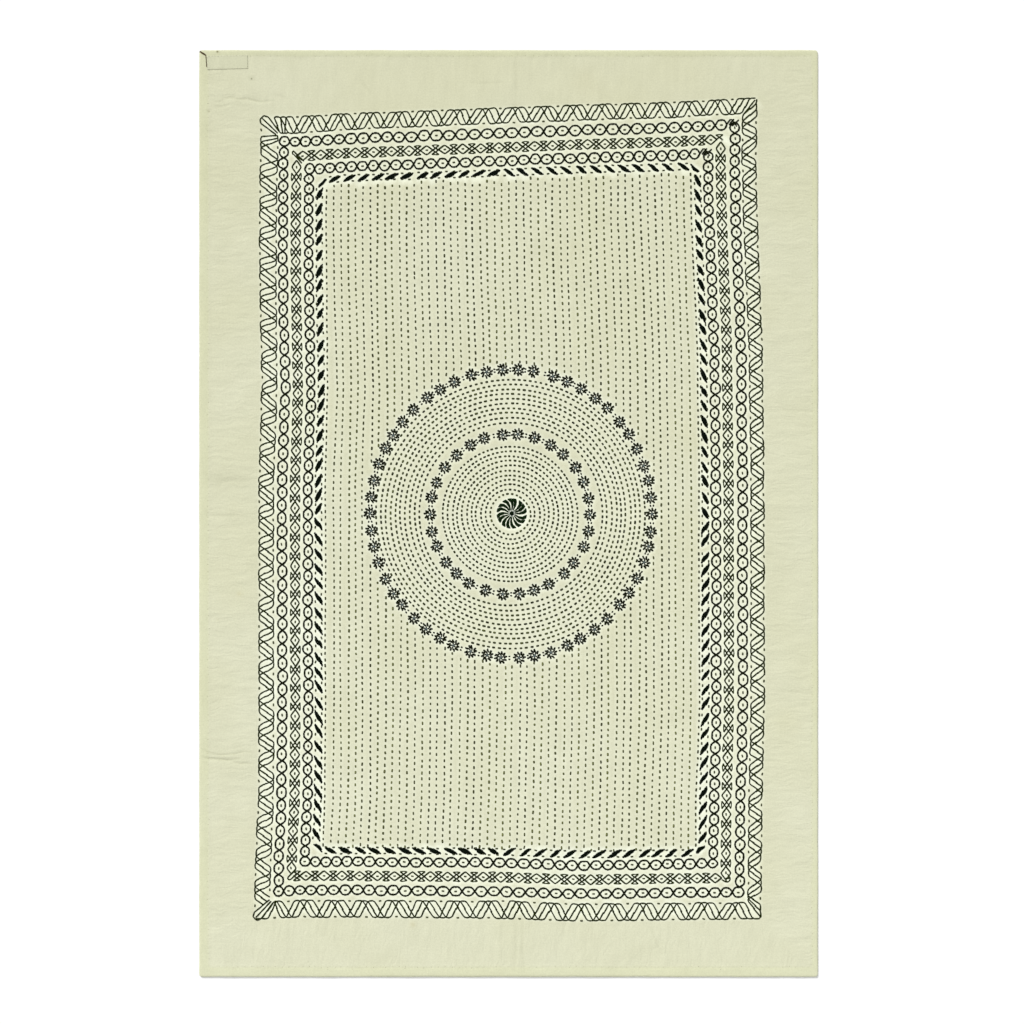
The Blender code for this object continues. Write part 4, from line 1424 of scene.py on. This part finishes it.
def thread_mesh(name, stitches, surface_height):
    """Spindle-shaped stitches: five-sided tubes whose two ends dip into the cloth."""
    stitches = np.array(stitches)
    starts, ends = stitches[:, :2], stitches[:, 2:4]
    bend, width, lift, shade = stitches[:, 4:].T
    count = len(stitches)
    reach = np.linalg.norm(ends - starts, axis=1)
    ahead = (ends - starts) / reach[:, None]
    aside = turned(ahead.T).T

    # Five places along each stitch, its two tips and three rings.
    tip_share = np.minimum(TIP_SHARE, TIP_LENGTH / reach)
    shares = np.stack((np.zeros(count), tip_share, np.full(count, 0.5), 1 - tip_share, np.ones(count)), 1)
    bow = np.array(THREAD_BOW)[None, :, None] * bend[:, None, None] * aside[:, None]
    plan = starts[:, None] + shares[:, :, None] * (ends - starts)[:, None] + bow
    rise = np.array(THREAD_RISE)[None, :] * (width * lift)[:, None]
    height = surface_height(plan.reshape(-1, 2)).reshape(count, 5) + rise

    turns = 2 * math.pi * np.arange(THREAD_SIDES) / THREAD_SIDES + math.pi / 2
    swell = np.array(THREAD_SWELL)
    side_reach, up_reach = (profile[None, None, :] * swell[None, :, None] * width[:, None, None] / 2
                            for profile in (np.cos(turns), np.sin(turns)))
    ring_plan = plan[:, 1:4, None, :] + side_reach[..., None] * aside[:, None, None, :]
    ring_height = height[:, 1:4, None] + up_reach * THREAD_FLATNESS
    ring_points = np.concatenate((ring_plan, ring_height[..., None]), 3).reshape(count, -1, 3)
    tips = np.concatenate((plan[:, (0, 4)], height[:, (0, 4), None]), 2)
    vertices = np.concatenate((tips, ring_points), 1).reshape(-1, 3)
    corners = stitch_faces(count)

    mesh = bpy.data.meshes.new(name)
    mesh.vertices.add(len(vertices))
    mesh.vertices.foreach_set("co", vertices.ravel())
    mesh.loops.add(len(corners))
    mesh.loops.foreach_set("vertex_index", corners)
    mesh.polygons.add(len(corners) // 3)
    mesh.polygons.foreach_set("loop_start", np.arange(0, len(corners), 3))
    mesh.update(calc_edges=True)
    mesh.validate()
    mesh.shade_smooth()

    # `shade` is how pale each point is. `strand` is where a point is along the thread and round it.
    tones = np.array((TIP_TONE, TIP_TONE, *np.repeat(RING_TONES, THREAD_SIDES)))
    paint(mesh, "shade", np.repeat((shade[:, None] * tones).reshape(-1, 1), 3, 1))
    lengthwise = np.concatenate((shares[:, (0, 4)], np.repeat(shares[:, 1:4], THREAD_SIDES, 1)), 1)
    lengthwise = lengthwise * reach[:, None] / 0.001
    around = np.concatenate((np.zeros(2), np.tile(np.arange(THREAD_SIDES) / THREAD_SIDES, 3)))
    strand = np.stack(np.broadcast_arrays(lengthwise, around, 0.0), 2)
    mesh.attributes.new("strand", "FLOAT_VECTOR", "POINT").data.foreach_set("vector", strand.ravel())
    return mesh


def thread_pieces(thread, surface_height):
    """A thread's stitches as objects on the quilt, none with too many triangles."""
    material = thread_material(thread.colour_name)
    pieces = []
    parts = math.ceil(len(thread.stitches) / STITCHES_IN_A_PIECE)
    for part in range(parts):
        name = thread.name if parts == 1 else f"{thread.name}_{part + 1}"
        mesh = thread_mesh(name, thread.stitches[part::parts], surface_height)
        mesh.materials.append(material)
        piece = placed(name, mesh)
        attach(piece, "root")
        pieces.append(piece)
    return pieces


# ---- materials ----

SHADER_INPUTS = {
    "roughness": "Roughness",
    "specular": "Specular IOR Level",
    "sheen": "Sheen Weight",
    "sheen_roughness": "Sheen Roughness",
}


class Nodes:
    """A material's node tree, with short calls to add and join nodes."""

    def __init__(self, name):
        self.material = bpy.data.materials.new(name)
        self.material.use_nodes = True
        self.tree = self.material.node_tree
        self.shader = self.tree.nodes["Principled BSDF"]

    def add(self, kind, settings=None, **inputs):
        """A new node. An input is named, or is i0, i1 and so on by its place."""
        node = self.tree.nodes.new(kind)
        for key, value in (settings or {}).items():
            setattr(node, key, value)
        for key, value in inputs.items():
            socket = node.inputs[int(key[1:]) if key[1:].isdigit() else key]
            if isinstance(value, bpy.types.NodeSocket):
                self.tree.links.new(value, socket)
            else:
                socket.default_value = value
        return node

    def math(self, operation, first, second=0.0):
        """Arithmetic on two values."""
        return self.add("ShaderNodeMath", {"operation": operation}, i0=first, i1=second).outputs[0]

    def noise(self, vector, scale, detail=2.0, roughness=0.5):
        """A cloudy pattern from 0 to 1."""
        node = self.add("ShaderNodeTexNoise", Vector=vector, Scale=scale, Detail=detail, Roughness=roughness)
        return node.outputs["Fac"]

    def stretched(self, vector, x, y):
        """Places scaled by x and y, so a pattern drawn in them is that much finer."""
        return self.add("ShaderNodeMapping", Vector=vector, Scale=(x, y, 1.0)).outputs["Vector"]

    def attribute(self, name, output="Color"):
        """What a mesh carries on its points under this name."""
        return self.add("ShaderNodeAttribute", {"attribute_name": name}).outputs[output]

    def ranged(self, value, low, high, to_low, to_high):
        """A value moved from one range to another, and kept inside it."""
        node = self.add("ShaderNodeMapRange", Value=value)
        for key, number in (("From Min", low), ("From Max", high), ("To Min", to_low), ("To Max", to_high)):
            node.inputs[key].default_value = number
        return node.outputs[0]

    def times(self, colour, factor):
        """A colour made darker or paler."""
        node = self.add("ShaderNodeVectorMath", {"operation": "SCALE"}, i0=colour)
        self.tree.links.new(factor, node.inputs["Scale"])
        return node.outputs[0]

    def bump(self, height, strength, distance, under=None):
        """Bumps in the shading, on top of those of another bump node where one is given."""
        node = self.add("ShaderNodeBump", Height=height, Strength=strength, Distance=distance)
        if under is not None:
            self.tree.links.new(under, node.inputs["Normal"])
        return node.outputs["Normal"]

    def finish(self, colour, normal, **numbers):
        """Join the colour and the bumps to the shader, and set its numbers."""
        self.tree.links.new(colour, self.shader.inputs["Base Color"])
        self.tree.links.new(normal, self.shader.inputs["Normal"])
        for name, number in numbers.items():
            self.shader.inputs[SHADER_INPUTS[name]].default_value = number
        return self.material


def cotton_material(name):
    """Hand-woven cotton: warp and weft, thicker yarns here and there, and faint mottling."""
    nodes = Nodes(name)
    place = nodes.add("ShaderNodeTexCoord").outputs["Object"]
    # Scales are in bumps to the metre, across and along a yarn.
    warp = nodes.noise(nodes.stretched(place, 2600, 90), 1.0, 1.0)
    weft = nodes.noise(nodes.stretched(place, 90, 2600), 1.0, 1.0)
    slubs = nodes.noise(nodes.stretched(place, 30, 700), 1.0, 3.0, 0.6)
    strays = nodes.noise(nodes.stretched(place, 700, 30), 1.0, 3.0, 0.6)
    mottle = nodes.noise(place, 420.0, 3.0, 0.7)
    # Fine ripples in the margins: level ones beside the long sides, upright ones beside the short.
    grain = nodes.add("ShaderNodeSeparateColor", Color=nodes.attribute("grain")).outputs
    drift = nodes.add("ShaderNodeTexNoise", Vector=place, Scale=45.0, Detail=1.0)
    wander = nodes.add("ShaderNodeVectorMath", {"operation": "MULTIPLY_ADD"}, i0=drift.outputs["Color"],
                       i1=(0.02, 0.02, 0.0), i2=place).outputs[0]
    level = nodes.noise(nodes.stretched(wander, 50, 190), 1.0, 1.5, 0.5)
    upright = nodes.noise(nodes.stretched(wander, 190, 50), 1.0, 1.5, 0.5)
    ripples = nodes.math("ADD", nodes.math("MULTIPLY", level, grain[0]),
                         nodes.math("MULTIPLY", upright, grain[1]))
    weave = nodes.math("ADD", warp, weft)
    yarns = nodes.math("ADD", slubs, strays)
    tint = nodes.math("ADD", nodes.ranged(weave, 0.6, 1.4, -0.02, 0.02),
                      nodes.ranged(yarns, 0.7, 1.3, -0.018, 0.018))
    tint = nodes.math("ADD", tint, nodes.ranged(mottle, 0.3, 0.7, 0.94, 1.06))
    colour = nodes.times(nodes.attribute("tone"), tint)
    fine = nodes.bump(weave, 0.5, 0.00012)
    coarse = nodes.bump(yarns, 0.5, 0.00025, fine)
    normal = nodes.bump(ripples, 0.6, 0.0012, coarse)
    return nodes.finish(colour, normal, roughness=0.9, specular=0.2, sheen=0.08, sheen_roughness=0.5)


def thread_material(name):
    """Cotton floss: the twist of its plies, in bumps and in painted highlight and shade, fibres that vary
    its tone, and a shade of its own on every stitch.
    """
    if name in bpy.data.materials:
        return bpy.data.materials[name]
    nodes = Nodes(name)
    strand = nodes.attribute("strand", "Vector")
    parts = nodes.add("ShaderNodeSeparateXYZ", Vector=strand)
    turn = nodes.math("ADD", nodes.math("MULTIPLY", parts.outputs[0], 1.6), parts.outputs[1])
    plies = nodes.math("SINE", nodes.math("MULTIPLY", turn, 2 * math.pi))
    fibres = nodes.noise(nodes.add("ShaderNodeTexCoord").outputs["Object"], 1500.0, 2.0)
    shade = nodes.add("ShaderNodeSeparateColor", Color=nodes.attribute("shade")).outputs[0]
    # The plies' stripes are painted highlight and shade along the twist; the fibres vary the thread's own
    # tone.
    ply_shine_and_fibre_tone = nodes.math("ADD", nodes.ranged(plies, -1.0, 1.0, -0.12, 0.12),
                       nodes.ranged(fibres, 0.3, 0.7, 0.85, 1.15))
    colour = nodes.add("ShaderNodeRGB")
    colour.outputs[0].default_value = THREAD_COLOURS[name]
    tint = nodes.times(colour.outputs[0], nodes.math("MULTIPLY", shade, ply_shine_and_fibre_tone))
    normal = nodes.bump(plies, 0.4, 0.0001)
    return nodes.finish(tint, normal, roughness=0.7, specular=0.06, sheen=0.0, sheen_roughness=0.5)


def plain_material(name, colour):
    """A matt material of one colour."""
    material = bpy.data.materials.new(name)
    material.use_nodes = True
    shader = material.node_tree.nodes["Principled BSDF"]
    shader.inputs["Base Color"].default_value = colour
    shader.inputs["Roughness"].default_value = 1.0
    shader.inputs["Specular IOR Level"].default_value = 0.0
    return material


# ---- the label ----

def corner_label(surface_height):
    """A strip of cotton tape that lies over the margin and the hem, and is sewn on round its edge."""
    columns, rows = LABEL_GRID
    along, across = (np.linspace(0, size, steps) for size, steps in zip(LABEL_SIZE, LABEL_GRID))
    plan = np.array([label_point(x, y) for y in across for x in along])
    seat = surface_height(plan).reshape(rows, columns)
    # The tape bridges the cloth's small dimples: each point is raised to the mean around it.
    for _ in range(LABEL_ROUNDS):
        padded = np.pad(seat, 1, mode="edge")
        seat = np.maximum(seat, (padded[:-2, 1:-1] + padded[2:, 1:-1] + padded[1:-1, :-2]
                                 + padded[1:-1, 2:] + 2 * seat) / 6)
    x, y = np.meshgrid(along, across)
    away = np.minimum(np.minimum(x, LABEL_SIZE[0] - x), np.minimum(y, LABEL_SIZE[1] - y))
    puff = LABEL_PUFF * smooth_step((away - LABEL_FLAT_RIM) / LABEL_RISE)
    bottom = seat + LABEL_CLEARANCE
    top = bottom + LABEL_THICKNESS + puff
    count = columns * rows
    vertices = np.concatenate([np.column_stack((plan, height.ravel())) for height in (top, bottom)])
    faces = []
    for row in range(rows - 1):
        for column in range(columns - 1):
            corner = row * columns + column
            quad = (corner, corner + 1, corner + 1 + columns, corner + columns)
            faces.append(quad)
            faces.append(tuple(count + index for index in reversed(quad)))
    rim = [*range(columns), *range(2 * columns - 1, count, columns),
           *range(count - 2, count - columns - 1, -1), *range(count - 2 * columns, 0, -columns)]
    for here, after in zip(rim, rim[1:] + rim[:1]):
        faces.append((here, count + here, count + after, after))
    mesh = bpy.data.meshes.new("label_tape")
    mesh.from_pydata(vertices.tolist(), [], faces)
    mesh.shade_smooth()
    rim_share = smooth_step(1 - away / LABEL_RIM).ravel()[:, None]
    shades = np.array(LABEL_COLOUR) * (1 - rim_share * np.array(LABEL_RIM_FADE))
    paint(mesh, "tone", np.concatenate((shades, shades)))
    mesh.materials.append(cotton_material("label_cotton"))
    label = placed("label_tape", mesh)
    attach(label, "root")
    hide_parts("corner_label")
    return label


# ---- floor, light and camera ----

def studio():
    """A white floor under an even, soft light that comes mostly from overhead."""
    mesh = bpy.data.meshes.new("floor")
    signs = ((-1, -1), (1, -1), (1, 1), (-1, 1))
    corners = [(x * FLOOR_REACH, y * FLOOR_REACH, FLOOR_LEVEL) for x, y in signs]
    mesh.from_pydata(corners, [], [(0, 1, 2, 3)])
    mesh.materials.append(plain_material("floor_white", FLOOR_COLOUR))
    floor = placed("floor", mesh)

    world = bpy.data.worlds.new("studio")
    world.use_nodes = True
    background = world.node_tree.nodes["Background"]
    background.inputs["Color"].default_value = (1.0, 1.0, 1.0, 1.0)
    background.inputs["Strength"].default_value = SKY_STRENGTH
    bpy.context.scene.world = world

    for name, strength, azimuth, elevation, spread in STUDIO_LIGHTS:
        lamp = bpy.data.lights.new(name, "SUN")
        lamp.energy = strength
        lamp.angle = math.radians(spread)
        light = placed(name, lamp)
        elevation = math.radians(elevation)
        x, y = heading(math.radians(azimuth)) * math.cos(elevation)
        towards = Vector((x, y, math.sin(elevation)))
        light.rotation_euler = towards.to_track_quat("Z", "Y").to_euler()


def overhead_camera():
    """A camera that looks straight down; an object without a rotation faces that way."""
    camera_data = bpy.data.cameras.new("overhead_camera")
    camera_data.lens = 85
    camera_data.sensor_width = 36
    camera_data.clip_end = 100
    camera = placed("overhead_camera", camera_data)
    camera.location = (*CAMERA_AIM, CAMERA_HEIGHT)
    bpy.context.scene.camera = camera


# ---- the quilt, put together ----

def height_over(piece):
    """A function that gives the height of a piece's surface at points of the plan."""
    bpy.context.view_layer.update()
    tree = BVHTree.FromObject(piece, bpy.context.evaluated_depsgraph_get())

    def height_at(points):
        result = np.full(len(points), EDGE_HEIGHT_AT_RIM)
        for index, (x, y) in enumerate(points):
            place = tree.ray_cast(Vector((x, y, ABOVE_ALL)), Vector((0, 0, -1)))[0]
            if place is not None:
                result[index] = place.z
        return result

    return height_at


def main():
    """Lay out the stitches, draw the cloth down along them, and lay the threads and the label on it."""
    overhead_camera()
    studio()

    threads = {name: Thread(name, colour_name) for name, colour_name in THREAD_PIECES.items()}
    outer_chain, inner_chain = threads["outer_chain_border"], threads["inner_chain_border"]
    zigzag, lozenges = threads["zigzag_border"], threads["lozenge_border"]
    satin, dots = threads["satin_bar_border"], threads["border_dots"]

    zigzag_band(zigzag, dots)
    chain_band(OUTER_CHAIN, OUTER_CHAIN_PITCH, OUTER_LINK_REACH, outer_chain, dots)
    lozenge_band(lozenges, dots)
    corner_strokes(lozenges)
    chain_corner(outer_chain, OUTER_CHAIN)
    chain_band(INNER_CHAIN, INNER_CHAIN_PITCH, INNER_LINK_REACH, inner_chain, dots)
    chain_corner(inner_chain, INNER_CHAIN)
    satin_band(satin, dots)
    corner_bars(zigzag, satin)
    row_points = field_rows(threads["field_running_stitch"])
    rings(threads["medallion_rings"])
    rosette_rings(threads["rosettes"], threads["rosette_cores"])
    wheel(threads["wheel_petals"], threads["wheel_knot"])
    hem_stitches(threads["hem_stitches"], threads["hem_specks"])
    label_stitches(threads["label_stitches"])
    corner_threads(threads["corner_thread"])
    pencil_marks(threads["pencil_lines"])

    quilting = [thread for name, thread in threads.items() if name not in LYING_PIECES]
    relief = cloth_relief(quilting)
    cloth = placed("quilted_cloth", cloth_mesh(relief, row_points))
    cloth.data.materials.append(cotton_material("cream_cotton"))
    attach(cloth, "root")
    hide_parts("quilt_cloth")

    on_cloth = height_over(cloth)
    on_label = height_over(corner_label(on_cloth))
    for name, thread in threads.items():
        thread_pieces(thread, on_label if name == "label_stitches" else on_cloth)


main()

bpy.context.scene.view_settings.view_transform = "Standard"
